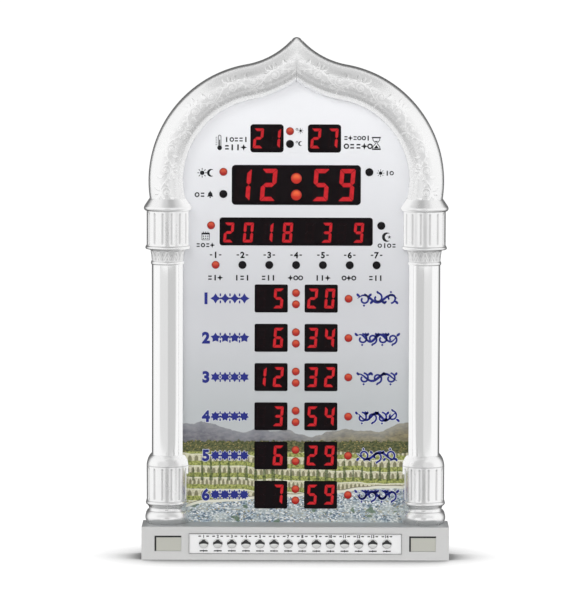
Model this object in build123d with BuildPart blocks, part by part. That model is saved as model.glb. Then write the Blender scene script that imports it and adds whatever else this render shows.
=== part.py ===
from build123d import *
from math import asin, atan2, cos, degrees, hypot, radians, sin, sqrt, tan
import os

# Free-standing prayer-time clock: an ogee-arched housing with turned columns on a plinth.
# All sizes are in millimetres. +X is to the viewer's right, +Y to the back and +Z up.
# The origin is the middle of the underside.

# --- plinth ---
plinth_depth = 72.0
plinth_height = 46.5
plinth_wall = 3.0
plinth_edge = 0.8
base_plate_thickness = 2.5
base_plate_clearance = 0.2
cable_slot_length = 60.0
cable_slot_width = 8.0
plinth_end_length = 66.5

# --- push buttons and their bezel ---
button_count = 14
button_pitch = 19.7
button_radius = 6.4
button_proud = 3.0
button_crown = 1.6
button_travel = 1.0
button_hole_clearance = 0.3
button_row_z = 23.0
flange_side = 14.6
flange_thickness = 1.0
stem_side = 3.0
bezel_end_margin = 20.45
bezel_height = 27.9
bezel_thickness = 1.6
bezel_sink = 0.2
bezel_clearance = 0.3
button_slot_height = 16.0
button_slot_margin = 9.0

# --- recessed plates at the plinth's ends ---
inlay_gap = 10.7
inlay_width = 37.6
inlay_height = 21.8
inlay_pocket_depth = 2.2
inlay_thickness = 1.2
inlay_clearance = 0.4

# --- body: depth planes and walls ---
body_depth = 19.0
moulding_stilt = 4.0
shell_wall = 3.5
rear_cover_thickness = 2.5
rear_cover_inset = 1.5
panel_thickness = 2.0
panel_overlap = 4.5

# --- columns, from the plinth upwards ---
plinth_ledge = 4.0
torus_projection = 1.7
torus_height = 17.0
neck_depth = 3.4
neck_height = 9.2
foot_ring_projection = 1.1
foot_ring_height = 5.0
drum_radius = 29.3
drum_height = 49.7
flare_step = 0.8
flare_height = 15.5
shaft_radius = 22.0
shaft_length = 267.6
neck_ring_projection = 1.4
neck_ring_height = 4.8
bell_foot_projection = 0.3
bell_top_inset = 4.1
bell_height = 17.0
capital_ring_projection = 1.9
capital_ring_height = 4.4
collar_projection = 3.9
collar_height = 16.6
collar_lip_height = 6.4
ring_roundness = 1.0

# --- flutes cut round the drums ---
flute_count = 6
flute_spacing_deg = 25.0
flute_radius = 2.2
flute_depth = 1.1
flute_end_margin = 2.6

# --- ogee arch, measured on the moulding's centre line ---
arch_half_width = 24.8
arch_radius = 140.5
arch_centre_rise = 24.4
arch_rise = 194.2
ogee_start_deg = 80.0
tip_radius = 8.0
tip_trim = 5.0

# --- seven-segment displays ---
top_window_corner = 4.5
time_window_corner = 5.5
date_window_corner = 4.0
row_window_corner = 2.2
module_border = 3.0
module_depth = 8.0
track_depth = 0.6
digit_lean_deg = 4.5
small_digit_height = 27.8
small_digit_width = 13.4
small_digit_stroke = 3.7
small_digit_pitch = 24.0
large_digit_height = 45.0
large_digit_width = 21.4
large_digit_stroke = 5.8
large_digit_pitch = 36.0
small_window_width = 46.6
small_window_height = 39.6
time_window_width = 180.8
time_window_height = 56.2
time_pair_offset = 54.7
time_digits_shift = -2.0
date_window_width = 214.8
date_digits_drop = 1.5
year_pitch = 27.5
year_centre_x = -53.2
month_centre_x = 31.0
day_centre_x = 75.5
top_row_rise = 84.2
temperature_x = -41.2
countdown_x = 39.2
time_row_rise = 18.9
date_row_drop = 46.5
row_count = 6
row_top_drop = 140.6
row_foot_rise = 38.8
row_hour_x = -34.7
row_hour_shift = -1.8
row_minute_x = 35.4

# --- indicator lamps ---
lamp_radius = 5.6
lamp_height = 3.0
lamp_collar = 0.8
colon_lamp_radius = 7.5
colon_lamp_height = 3.6
row_colon_offset = 8.0
row_marker_x = 73.8
day_count = 7
day_lamp_pitch = 37.6
day_row_drop = 93.4
unit_lamp_x = -9.0
unit_lamp_rises = (10.2, -7.7)
mode_lamp_x = 102.1
mode_lamp_rises = (18.3, -12.8)
calendar_lamp_x = 119.2
calendar_lamp_rise = 8.6
time_colon_rises = (9.3, -14.0)

# --- inner parts ---
board_thickness = 1.6
board_top_width = 256.0
board_top_rise = 113.0
board_neck_drop = 107.0
board_lower_width = 168.0
board_foot_gap = 10.0
board_post_radius = 3.0
board_post_inset = 8.0
chip_length = 17.8
chip_width = 7.5
chip_height = 2.4
chip_count = 4
coin_holder_radius = 11.5
coin_holder_height = 4.2
coin_holder_offset = (50.0, 60.0)
button_board_end_gap = 18.0
button_board_height = 30.0
button_board_thickness = 1.6
switch_side = 6.2
switch_depth = 3.6
switch_gap = 1.6
stem_clearance = 0.2
stem_engagement = 0.6
button_post_radius = 2.5
button_post_x = 146.0
button_post_rise = 9.0
receiver_width = 6.5
receiver_height = 7.0
receiver_depth = 4.0
speaker_x = 122.0
speaker_rise = 133.5
speaker_radius = 25.0
speaker_flange = 3.0
speaker_depth = 8.0
speaker_skin = 1.0
basket_foot_radius = 13.0
magnet_radius = 11.0
magnet_height = 4.0
grille_slot_count = 7
grille_slot_width = 2.4
grille_slot_pitch = 5.4

# --- power inlet, wall hanging and screws ---
jack_x = -150.0
jack_radius = 4.0
jack_bore_radius = 2.75
jack_pin_radius = 1.0
jack_bore_depth = 9.5
jack_body_side = 11.0
jack_body_depth = 10.0
jack_clearance = 0.2
keyhole_spacing = 200.0
keyhole_rise = 57.0
keyhole_entry_radius = 4.5
keyhole_slot_width = 4.4
keyhole_slot_length = 9.0
screw_offset = 12.5
screw_radius = 1.6
screw_head_radius = 3.2
screw_head_height = 1.6
screw_length = 12.0
screw_clearance = 0.3
pilot_clearance = 0.05
boss_radius = 4.0
boss_cover = 1.5
arch_screw_deg = 48.0

# --- radii worked out from the drum and the shaft ---
torus_radius = drum_radius + torus_projection
neck_radius = drum_radius - neck_depth
foot_ring_radius = drum_radius + foot_ring_projection
flare_top_radius = shaft_radius + flare_step
neck_ring_radius = shaft_radius + neck_ring_projection
bell_foot_radius = shaft_radius + bell_foot_projection
bell_top_radius = drum_radius - bell_top_inset
capital_ring_radius = drum_radius + capital_ring_projection
collar_radius = drum_radius + collar_projection

# --- widths worked out from the button row outwards ---
bezel_width = (button_count - 1) * button_pitch + 2 * bezel_end_margin
plinth_width = bezel_width + 2 * plinth_end_length
inlay_centre_x = bezel_width / 2 + inlay_gap + inlay_width / 2
column_axis_x = plinth_width / 2 - plinth_ledge - torus_radius
button_board_width = plinth_width - 2 * (plinth_wall + button_board_end_gap)

# --- depth planes worked out from the sizes above ---
overall_depth = plinth_depth + button_proud
back_y = overall_depth / 2
plinth_front_y = back_y - plinth_depth
plinth_centre_y = (back_y + plinth_front_y) / 2
seat_y = back_y - body_depth
centre_y = seat_y - moulding_stilt
cover_y = back_y - rear_cover_thickness
module_face_y = seat_y + panel_thickness
board_y = module_face_y + module_depth
board_back_y = board_y + board_thickness
bezel_front_y = plinth_front_y + bezel_sink
bezel_back_y = bezel_front_y + bezel_thickness
flange_back_y = bezel_back_y + flange_thickness
switch_face_y = flange_back_y + switch_gap + button_travel
switch_back_y = switch_face_y + switch_depth

# --- levels of the column ---
torus_top_z = plinth_height + torus_height
neck_top_z = torus_top_z + neck_height
foot_ring_top_z = neck_top_z + foot_ring_height
foot_drum_top_z = foot_ring_top_z + drum_height
shaft_foot_z = foot_drum_top_z + flare_height
shaft_top_z = shaft_foot_z + shaft_length
bell_foot_z = shaft_top_z + neck_ring_height
bell_top_z = bell_foot_z + bell_height
drum_foot_z = bell_top_z + capital_ring_height
drum_top_z = drum_foot_z + drum_height
arch_foot_z = drum_top_z + collar_height
column_bore_radius = shaft_radius - shell_wall

# --- levels of the displays, lamps and inner parts, from the arch's foot and the plinth's top ---
top_row_z = arch_foot_z + top_row_rise
time_row_z = arch_foot_z + time_row_rise
date_row_z = arch_foot_z - date_row_drop
day_row_z = arch_foot_z - day_row_drop
row_top_z = arch_foot_z - row_top_drop
row_pitch = (row_top_z - plinth_height - row_foot_rise) / (row_count - 1)
calendar_lamp_z = date_row_z + calendar_lamp_rise
board_top_z = arch_foot_z + board_top_rise
board_neck_z = arch_foot_z - board_neck_drop
speaker_z = plinth_height + speaker_rise
keyhole_z = arch_foot_z + keyhole_rise

# --- centre line of the arch: a main arc and a reversed arc that meets it tangentially ---
arch_centre_z = arch_foot_z + arch_centre_rise
arch_centre_x = column_axis_x - sqrt(arch_radius**2 - arch_centre_rise**2)
ogee_start = radians(ogee_start_deg)
junction_x = arch_centre_x + arch_radius * cos(ogee_start)
junction_z = arch_centre_z + arch_radius * sin(ogee_start)
apex_z = arch_foot_z + arch_rise
chord = hypot(junction_x, apex_z - junction_z)
chord_turn = ogee_start - atan2(junction_x, apex_z - junction_z)
ogee_radius = chord / (2 * sin(chord_turn))
ogee_centre_x = junction_x + ogee_radius * cos(ogee_start)
ogee_centre_z = junction_z + ogee_radius * sin(ogee_start)


def facing(y, x=0):
    """Upright plane at depth y, drawn as seen from the front: local x is +X from x, local y is +Z."""
    return Plane((x, y, 0), x_dir=(1, 0, 0), z_dir=(0, -1, 0))


def apex_at(reach):
    """Height of the outline's point on the centre plane, reach outside the centre line."""
    return ogee_centre_z - sqrt((ogee_radius - reach) ** 2 - ogee_centre_x**2)


def body_outline(side_reach, arch_reach, y):
    """Face of the arched body above the plinth, bounded so far outside the mouldings' centre line."""
    side_x = column_axis_x + side_reach
    radius = arch_radius + arch_reach
    reverse = ogee_radius - arch_reach
    shoulder_z = arch_centre_z - sqrt(radius**2 - (side_x - arch_centre_x) ** 2)
    top_z = apex_at(arch_reach)
    middle = ogee_start / 2
    reverse_middle = (ogee_start + atan2(ogee_centre_z - top_z, ogee_centre_x)) / 2
    turn_x = arch_centre_x + radius * cos(ogee_start)
    turn_z = arch_centre_z + radius * sin(ogee_start)
    arc_x = arch_centre_x + radius * cos(middle)
    arc_z = arch_centre_z + radius * sin(middle)
    ogee_x = ogee_centre_x - reverse * cos(reverse_middle)
    ogee_z = ogee_centre_z - reverse * sin(reverse_middle)
    with BuildSketch(facing(y)) as outline:
        with BuildLine():
            Line((0, plinth_height), (side_x, plinth_height))
            Line((side_x, plinth_height), (side_x, shoulder_z))
            ThreePointArc((side_x, shoulder_z), (arc_x, arc_z), (turn_x, turn_z))
            ThreePointArc((turn_x, turn_z), (ogee_x, ogee_z), (0, top_z))
            mirror(about=Plane.YZ)
        make_face()
    return outline.sketch


def tip_waste(y, inset):
    """Face to cut off the sharp apex, leaving a round tip that lies inset within the moulding's."""
    radius = tip_radius - inset
    centre_z = apex_at(arch_half_width) - tip_trim - tip_radius
    with BuildSketch(facing(y)) as waste:
        with Locations((0, centre_z + radius / 2)):
            Rectangle(1.5 * radius, 2 * radius, align=(Align.CENTER, Align.MIN))
        with Locations((0, centre_z)):
            Circle(radius, mode=Mode.SUBTRACT)
    return waste.sketch


def turned_piece(half_profile, foot_z, top_z, boss_z):
    """Right-hand column piece: half-round in front, straight flanks behind, hollow along its axis.

    half_profile is the silhouette's outer half, drawn from the column's axis in the centre plane.
    A boss_z of None leaves out the screw boss.
    """
    inner_half = mirror(half_profile, about=Plane.YZ.offset(column_axis_x))
    back_flank = cover_y - centre_y
    with BuildPart() as piece:
        turning = Axis((column_axis_x, centre_y, 0), (0, 0, -1))
        revolve(half_profile, axis=turning, revolution_arc=180)
        extrude(half_profile, amount=-back_flank)
        extrude(inner_half, amount=-moulding_stilt)
        with BuildSketch(Plane.XY.offset(foot_z)) as bore:
            with Locations((column_axis_x, centre_y)):
                Circle(column_bore_radius)
                bore_side = 2 * column_bore_radius
                Rectangle(bore_side, back_flank, align=(Align.CENTER, Align.MIN))
        extrude(bore.sketch, amount=top_z - foot_z, mode=Mode.SUBTRACT)
        if boss_z is not None:
            reach = screw_offset + boss_radius
            tip_y = centre_y - sqrt(shaft_radius**2 - reach**2) + boss_cover
            with BuildSketch(facing(cover_y)) as boss:
                with Locations((column_axis_x + screw_offset, boss_z)):
                    Circle(boss_radius)
            extrude(boss.sketch, amount=cover_y - tip_y)
            with BuildSketch(facing(cover_y)) as pilot:
                with Locations((column_axis_x + screw_offset, boss_z)):
                    Circle(screw_radius + pilot_clearance)
            extrude(pilot.sketch, amount=screw_length, mode=Mode.SUBTRACT)
    return piece.part


def fluted(piece, drum_foot):
    """The piece with round-ended flutes cut round the front of its drum."""
    first_angle = -90 - flute_spacing_deg * (flute_count - 1) / 2
    ring_radius = drum_radius + flute_radius - flute_depth
    length = drum_height - 2 * flute_end_margin - 2 * flute_radius
    low_z = drum_foot + flute_end_margin + flute_radius
    with BuildPart() as cut:
        add(piece)
        with Locations((column_axis_x, centre_y, low_z)):
            with PolarLocations(
                ring_radius, flute_count, first_angle, flute_spacing_deg * flute_count
            ):
                Cylinder(
                    flute_radius,
                    length,
                    align=(Align.CENTER, Align.CENTER, Align.MIN),
                    mode=Mode.SUBTRACT,
                )
                Sphere(flute_radius, mode=Mode.SUBTRACT)
                with Locations((0, 0, length)):
                    Sphere(flute_radius, mode=Mode.SUBTRACT)
    return cut.part


def left_of(piece):
    """The piece's mirror image on the clock's left side."""
    with BuildPart() as image:
        mirror(piece, about=Plane.YZ)
    return image.part


# --- column foot: torus, cavetto neck, ring, fluted drum and flare ---
torus_edge = torus_radius - torus_height / 5
neck_low_radius = torus_edge - ring_roundness
flare_inset = drum_radius - flare_top_radius
flare_radius = (flare_inset**2 + flare_height**2) / (2 * flare_inset)
flare_middle = asin(flare_height / flare_radius) / 2
flare_middle_radius = drum_radius - flare_radius * (1 - cos(flare_middle))
flare_middle_z = foot_drum_top_z + flare_radius * sin(flare_middle)
with BuildSketch(facing(centre_y, column_axis_x)) as foot_profile:
    with BuildLine():
        Line((0, plinth_height), (torus_edge, plinth_height))
        ThreePointArc(
            (torus_edge, plinth_height),
            (torus_radius, plinth_height + torus_height / 2),
            (torus_edge, torus_top_z),
        )
        Line((torus_edge, torus_top_z), (neck_low_radius, torus_top_z))
        ThreePointArc(
            (neck_low_radius, torus_top_z),
            (neck_radius, torus_top_z + neck_height / 2),
            (drum_radius, neck_top_z),
        )
        ThreePointArc(
            (drum_radius, neck_top_z),
            (foot_ring_radius, neck_top_z + foot_ring_height / 2),
            (drum_radius, foot_ring_top_z),
        )
        Line((drum_radius, foot_ring_top_z), (drum_radius, foot_drum_top_z))
        ThreePointArc(
            (drum_radius, foot_drum_top_z),
            (flare_middle_radius, flare_middle_z),
            (flare_top_radius, shaft_foot_z),
        )
        Polyline((flare_top_radius, shaft_foot_z), (0, shaft_foot_z), (0, plinth_height))
    make_face()
foot_boss_z = (foot_ring_top_z + foot_drum_top_z) / 2
foot_blank = turned_piece(foot_profile.sketch, plinth_height, shaft_foot_z, foot_boss_z)

with BuildPart() as column_foot_right:
    add(fluted(foot_blank, foot_ring_top_z))

with BuildPart() as column_foot_left:
    add(left_of(column_foot_right.part))

# --- plain shaft ---
with BuildSketch(facing(centre_y, column_axis_x)) as shaft_profile:
    with Locations((0, shaft_foot_z)):
        Rectangle(shaft_radius, shaft_length, align=(Align.MIN, Align.MIN))

with BuildPart() as column_shaft_right:
    add(turned_piece(shaft_profile.sketch, shaft_foot_z, shaft_top_z, None))

with BuildPart() as column_shaft_left:
    add(left_of(column_shaft_right.part))

# --- capital: neck ring, bell, ring, fluted drum and flared collar ---
neck_edge = neck_ring_radius - ring_roundness
bell_waist_radius = (3 * bell_foot_radius + bell_top_radius) / 4
lip_low_radius = (drum_radius + collar_radius) / 2
lip_top_z = drum_top_z + collar_lip_height
collar_top_radius = arch_half_width + ring_roundness / 2
with BuildSketch(facing(centre_y, column_axis_x)) as capital_profile:
    with BuildLine():
        Line((0, shaft_top_z), (neck_edge, shaft_top_z))
        ThreePointArc(
            (neck_edge, shaft_top_z),
            (neck_ring_radius, shaft_top_z + neck_ring_height / 2),
            (bell_foot_radius, bell_foot_z),
        )
        ThreePointArc(
            (bell_foot_radius, bell_foot_z),
            (bell_waist_radius, (bell_foot_z + bell_top_z) / 2),
            (bell_top_radius, bell_top_z),
        )
        Line((bell_top_radius, bell_top_z), (drum_radius, bell_top_z))
        ThreePointArc(
            (drum_radius, bell_top_z),
            (capital_ring_radius, (bell_top_z + drum_foot_z) / 2),
            (drum_radius, drum_foot_z),
        )
        Line((drum_radius, drum_foot_z), (drum_radius, drum_top_z))
        Line((drum_radius, drum_top_z), (lip_low_radius, drum_top_z))
        ThreePointArc(
            (lip_low_radius, drum_top_z),
            (collar_radius, drum_top_z + collar_lip_height / 2),
            (collar_radius - ring_roundness, lip_top_z),
        )
        Polyline(
            (collar_radius - ring_roundness, lip_top_z),
            (collar_top_radius, arch_foot_z),
            (0, arch_foot_z),
            (0, shaft_top_z),
        )
    make_face()
capital_boss_z = (drum_foot_z + drum_top_z) / 2
capital_blank = turned_piece(capital_profile.sketch, shaft_top_z, arch_foot_z, capital_boss_z)

with BuildPart() as capital_right:
    add(fluted(capital_blank, drum_foot_z))

with BuildPart() as capital_left:
    add(left_of(capital_right.part))

# --- ogee arch: a hollow half-round moulding, turned along both arcs and mitred at the apex ---
arch_bore_radius = arch_half_width - shell_wall
arch_section_plane = Plane(
    origin=(junction_x, centre_y, junction_z),
    x_dir=(cos(ogee_start), 0, sin(ogee_start)),
    z_dir=(sin(ogee_start), 0, -cos(ogee_start)),
)
with BuildSketch(arch_section_plane) as arch_section:
    with BuildLine():
        Line((arch_half_width, centre_y - cover_y), (arch_half_width, 0))
        ThreePointArc((arch_half_width, 0), (0, arch_half_width), (-arch_half_width, 0))
        Polyline(
            (-arch_half_width, 0),
            (-arch_half_width, -moulding_stilt),
            (-arch_bore_radius, -moulding_stilt),
            (-arch_bore_radius, 0),
        )
        ThreePointArc((-arch_bore_radius, 0), (0, arch_bore_radius), (arch_bore_radius, 0))
        Polyline(
            (arch_bore_radius, 0),
            (arch_bore_radius, centre_y - cover_y),
            (arch_half_width, centre_y - cover_y),
        )
    make_face()

arch_foot_angle = degrees(asin(arch_centre_rise / (arch_radius - arch_half_width)))
arch_screw_radius = arch_radius + screw_offset
arch_screw_x = arch_centre_x + arch_screw_radius * cos(radians(arch_screw_deg))
arch_screw_z = arch_centre_z + arch_screw_radius * sin(radians(arch_screw_deg))
arch_boss_reach = screw_offset + boss_radius
arch_boss_tip_y = centre_y - sqrt(arch_half_width**2 - arch_boss_reach**2) + boss_cover

with BuildPart() as arch_moulding:
    main_axis = Axis((arch_centre_x, centre_y, arch_centre_z), (0, 1, 0))
    reverse_axis = Axis((ogee_centre_x, centre_y, ogee_centre_z), (0, 1, 0))
    revolve(arch_section.sketch, axis=main_axis, revolution_arc=ogee_start_deg + arch_foot_angle)
    revolve(arch_section.sketch, axis=reverse_axis, revolution_arc=ogee_start_deg)
    with BuildSketch(facing(cover_y)) as arch_boss:
        with Locations((arch_screw_x, arch_screw_z)):
            Circle(boss_radius)
    extrude(arch_boss.sketch, amount=cover_y - arch_boss_tip_y)
    with BuildSketch(facing(cover_y)) as arch_pilot:
        with Locations((arch_screw_x, arch_screw_z)):
            Circle(screw_radius + pilot_clearance)
    extrude(arch_pilot.sketch, amount=screw_length, mode=Mode.SUBTRACT)
    split(bisect_by=Plane.YZ, keep=Keep.TOP)
    split(bisect_by=Plane.XY.offset(arch_foot_z), keep=Keep.TOP)
    mirror(about=Plane.YZ)
    moulding_depth = cover_y - centre_y + arch_half_width
    extrude(tip_waste(cover_y, 0), amount=moulding_depth, mode=Mode.SUBTRACT)

# --- displays: centre x and z, window size and corner, digit centres and how low they sit ---
small_pair = (-small_digit_pitch / 2, small_digit_pitch / 2)
hour_pair = tuple(x + row_hour_shift for x in small_pair)
time_cells = tuple(
    time_digits_shift + side * time_pair_offset + step * large_digit_pitch / 2
    for side in (-1, 1)
    for step in (-1, 1)
)
year_cells = tuple(year_centre_x + (place - 1.5) * year_pitch for place in range(4))
month_cells = tuple(month_centre_x + x for x in small_pair)
day_cells = tuple(day_centre_x + x for x in small_pair)
date_cells = year_cells + month_cells + day_cells
top_window = (small_window_width, small_window_height, top_window_corner)
time_window = (time_window_width, time_window_height, time_window_corner)
date_window = (date_window_width, small_window_height, date_window_corner)
row_window = (small_window_width, small_window_height, row_window_corner)
displays = {
    "temperature_digits": (temperature_x, top_row_z, top_window, small_pair, 0),
    "countdown_digits": (countdown_x, top_row_z, top_window, small_pair, 0),
    "time_digits": (0, time_row_z, time_window, time_cells, 0),
    "date_digits": (0, date_row_z, date_window, date_cells, date_digits_drop),
}
row_levels = [row_top_z - row * row_pitch for row in range(row_count)]
for row, level in enumerate(row_levels, start=1):
    displays[f"row_{row}_hour_digits"] = (row_hour_x, level, row_window, hour_pair, 0)
    displays[f"row_{row}_minute_digits"] = (row_minute_x, level, row_window, small_pair, 0)

# --- front panel with a window for each display ---
panel_reach = panel_overlap - column_bore_radius
with BuildPart() as front_panel:
    extrude(body_outline(panel_reach, panel_reach, seat_y), amount=-panel_thickness)
    with BuildSketch(facing(seat_y)) as windows:
        for centre_x, centre_z, window, cells, drop in displays.values():
            with Locations((centre_x, centre_z)):
                RectangleRounded(*window)
    extrude(windows.sketch, amount=-panel_thickness, mode=Mode.SUBTRACT)

# --- flat rear cover with board posts, speaker grille, keyholes and screw holes ---
cover_side_reach = shaft_radius - rear_cover_inset
cover_arch_reach = arch_half_width - rear_cover_inset
screw_places = [
    (side * x, z)
    for side in (-1, 1)
    for x, z in (
        (column_axis_x + screw_offset, foot_boss_z),
        (column_axis_x + screw_offset, capital_boss_z),
        (arch_screw_x, arch_screw_z),
    )
]
board_foot_z = plinth_height + board_foot_gap
post_low_x = board_lower_width / 2 - board_post_inset
post_high_x = board_top_width / 2 - board_post_inset
board_posts = [
    (side * x, z)
    for side in (-1, 1)
    for x, z in (
        (post_low_x, board_foot_z + board_post_inset),
        (post_low_x, board_neck_z - board_post_inset),
        (post_high_x, board_neck_z + board_post_inset),
    )
]
with BuildPart() as rear_cover:
    cover_outline = body_outline(cover_side_reach, cover_arch_reach, cover_y)
    extrude(cover_outline, amount=-rear_cover_thickness)
    cover_tip_waste = tip_waste(cover_y, rear_cover_inset)
    extrude(cover_tip_waste, amount=-rear_cover_thickness, mode=Mode.SUBTRACT)
    with BuildSketch(facing(cover_y)) as posts:
        with Locations(*board_posts):
            Circle(board_post_radius)
    extrude(posts.sketch, amount=cover_y - board_back_y)
    with BuildSketch(facing(cover_y)) as cover_holes:
        with Locations(*screw_places):
            Circle(screw_radius + screw_clearance)
        with Locations((-keyhole_spacing / 2, keyhole_z), (keyhole_spacing / 2, keyhole_z)):
            Circle(keyhole_entry_radius)
            Rectangle(keyhole_slot_width, keyhole_slot_length, align=(Align.CENTER, Align.MIN))
        for slot in range(grille_slot_count):
            height = (slot - (grille_slot_count - 1) / 2) * grille_slot_pitch
            half_length = sqrt((speaker_radius - speaker_flange) ** 2 - height**2)
            with Locations((speaker_x, speaker_z + height)):
                Rectangle(2 * half_length - grille_slot_width, grille_slot_width)
    extrude(cover_holes.sketch, amount=-rear_cover_thickness, mode=Mode.SUBTRACT)
    with BuildSketch(facing(back_y)) as head_recesses:
        with Locations(*screw_places):
            Circle(screw_head_radius + screw_clearance)
    extrude(head_recesses.sketch, amount=screw_head_height, mode=Mode.SUBTRACT)

# --- screws through the rear cover ---
with BuildPart() as cover_screws:
    with Locations(facing(back_y)):
        with Locations(*screw_places):
            Cylinder(
                screw_radius,
                screw_length,
                align=(Align.CENTER, Align.CENTER, Align.MIN),
            )
            Cylinder(
                screw_head_radius,
                screw_head_height,
                align=(Align.CENTER, Align.CENTER, Align.MIN),
            )

# --- plinth: an open-bottomed box with a bezel recess, end pockets, cable slot and jack hole ---
button_row_length = (button_count - 1) * button_pitch
button_slot_length = button_row_length + 2 * button_slot_margin
bezel_pocket_depth = bezel_thickness + bezel_sink
button_centres = [
    (place * button_pitch - button_row_length / 2, button_row_z) for place in range(button_count)
]
inlay_centres = [(-inlay_centre_x, button_row_z), (inlay_centre_x, button_row_z)]
with BuildPart() as plinth:
    with BuildSketch(Plane.XY) as footprint:
        with Locations((0, plinth_centre_y)):
            Rectangle(plinth_width, plinth_depth)
    extrude(footprint.sketch, amount=plinth_height)
    chamfer(plinth.faces().sort_by(Axis.Z)[-1].edges(), plinth_edge)
    with BuildSketch(Plane.XY) as hollow:
        with Locations((0, plinth_centre_y)):
            Rectangle(plinth_width - 2 * plinth_wall, plinth_depth - 2 * plinth_wall)
    extrude(hollow.sketch, amount=plinth_height - plinth_wall, mode=Mode.SUBTRACT)
    with BuildSketch(facing(plinth_front_y)) as front_pockets:
        with Locations((0, button_row_z)):
            Rectangle(bezel_width + 2 * bezel_clearance, bezel_height + 2 * bezel_clearance)
    extrude(front_pockets.sketch, amount=-bezel_pocket_depth, mode=Mode.SUBTRACT)
    with BuildSketch(facing(plinth_front_y)) as end_pockets:
        with Locations(*inlay_centres):
            Rectangle(inlay_width, inlay_height)
    extrude(end_pockets.sketch, amount=-inlay_pocket_depth, mode=Mode.SUBTRACT)
    with BuildSketch(facing(plinth_front_y)) as button_slot:
        with Locations((0, button_row_z)):
            Rectangle(button_slot_length, button_slot_height)
    extrude(button_slot.sketch, amount=-plinth_wall, mode=Mode.SUBTRACT)
    with BuildSketch(facing(plinth_front_y + plinth_wall)) as button_posts:
        with Locations((0, button_row_z)):
            with GridLocations(2 * button_post_x, 2 * button_post_rise, 2, 2):
                Circle(button_post_radius)
    extrude(button_posts.sketch, amount=plinth_front_y + plinth_wall - switch_back_y)
    with BuildSketch(Plane.XY.offset(plinth_height)) as cable_slot:
        with Locations((0, (module_face_y + cover_y) / 2)):
            Rectangle(cable_slot_length, cable_slot_width)
    extrude(cable_slot.sketch, amount=-plinth_wall, mode=Mode.SUBTRACT)
    with BuildSketch(facing(back_y)) as jack_hole:
        with Locations((jack_x, button_row_z)):
            Circle(jack_radius + jack_clearance)
    extrude(jack_hole.sketch, amount=plinth_wall, mode=Mode.SUBTRACT)

with BuildPart() as plinth_base_plate:
    with BuildSketch(Plane.XY) as plate_outline:
        with Locations((0, plinth_centre_y)):
            plate_margin = 2 * (plinth_wall + base_plate_clearance)
            Rectangle(plinth_width - plate_margin, plinth_depth - plate_margin)
    extrude(plate_outline.sketch, amount=base_plate_thickness)

# --- plates in the end pockets ---
inlay_front_y = plinth_front_y + inlay_pocket_depth - inlay_thickness
inlays = {}
for side, (centre_x, centre_z) in zip(("left", "right"), inlay_centres):
    with BuildPart() as inlay:
        with BuildSketch(facing(inlay_front_y)) as inlay_outline:
            with Locations((centre_x, centre_z)):
                Rectangle(inlay_width - 2 * inlay_clearance, inlay_height - 2 * inlay_clearance)
        extrude(inlay_outline.sketch, amount=-inlay_thickness)
    inlays[f"plinth_inlay_{side}"] = inlay.part

# --- button bezel, in the recess with a hole for each button ---
with BuildPart() as button_bezel:
    with BuildSketch(facing(bezel_front_y)) as bezel_outline:
        with Locations((0, button_row_z)):
            Rectangle(bezel_width, bezel_height)
        with Locations(*button_centres):
            Circle(button_radius + button_hole_clearance, mode=Mode.SUBTRACT)
    extrude(bezel_outline.sketch, amount=-bezel_thickness)

# --- push buttons: domed cap, square flange behind the bezel and a stem into its switch ---
stem_tip_y = switch_face_y + stem_engagement
well_depth = stem_engagement + button_travel + stem_clearance
crown_radius = (button_radius**2 + button_crown**2) / (2 * button_crown)
crown_latitude = degrees(asin((crown_radius - button_crown) / crown_radius))
crown_foot_y = plinth_front_y - button_proud + button_crown
buttons = {}
for number, (centre_x, centre_z) in enumerate(button_centres, start=1):
    with BuildPart() as button:
        with Locations(facing(bezel_back_y)):
            with Locations((centre_x, centre_z)):
                Cylinder(
                    button_radius,
                    bezel_back_y - crown_foot_y,
                    align=(Align.CENTER, Align.CENTER, Align.MIN),
                )
                Box(
                    flange_side,
                    flange_side,
                    flange_thickness,
                    align=(Align.CENTER, Align.CENTER, Align.MAX),
                )
                Box(
                    stem_side,
                    stem_side,
                    stem_tip_y - bezel_back_y,
                    align=(Align.CENTER, Align.CENTER, Align.MAX),
                )
        with Locations(facing(crown_foot_y + crown_radius - button_crown)):
            with Locations((centre_x, centre_z)):
                Sphere(crown_radius, arc_size1=crown_latitude, align=None)
    buttons[f"button_{number:02d}"] = button.part

# --- button board with its switches and the remote-control receiver ---
with BuildPart() as tact_switches:
    with BuildSketch(facing(switch_face_y)) as switch_outlines:
        with Locations(*button_centres):
            Rectangle(switch_side, switch_side)
    extrude(switch_outlines.sketch, amount=-switch_depth)
    with BuildSketch(facing(switch_face_y)) as wells:
        with Locations(*button_centres):
            Rectangle(stem_side + 2 * stem_clearance, stem_side + 2 * stem_clearance)
    extrude(wells.sketch, amount=-well_depth, mode=Mode.SUBTRACT)

with BuildPart() as button_board:
    with BuildSketch(facing(switch_back_y)) as button_board_outline:
        with Locations((0, button_row_z)):
            Rectangle(button_board_width, button_board_height)
    extrude(button_board_outline.sketch, amount=-button_board_thickness)

with BuildPart() as ir_receiver:
    with BuildSketch(facing(switch_back_y)) as receiver_outline:
        with Locations(inlay_centres[0]):
            Rectangle(receiver_width, receiver_height)
    extrude(receiver_outline.sketch, amount=receiver_depth)

# --- display modules: black blocks with figure-of-eight light tracks in their faces ---
large_digit = (large_digit_height, large_digit_width, large_digit_stroke)
small_digit = (small_digit_height, small_digit_width, small_digit_stroke)
lean = tan(radians(digit_lean_deg))


def leaning(*corners):
    """Corners sheared to the digits' lean."""
    return [(x + z * lean, z) for x, z in corners]


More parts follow.
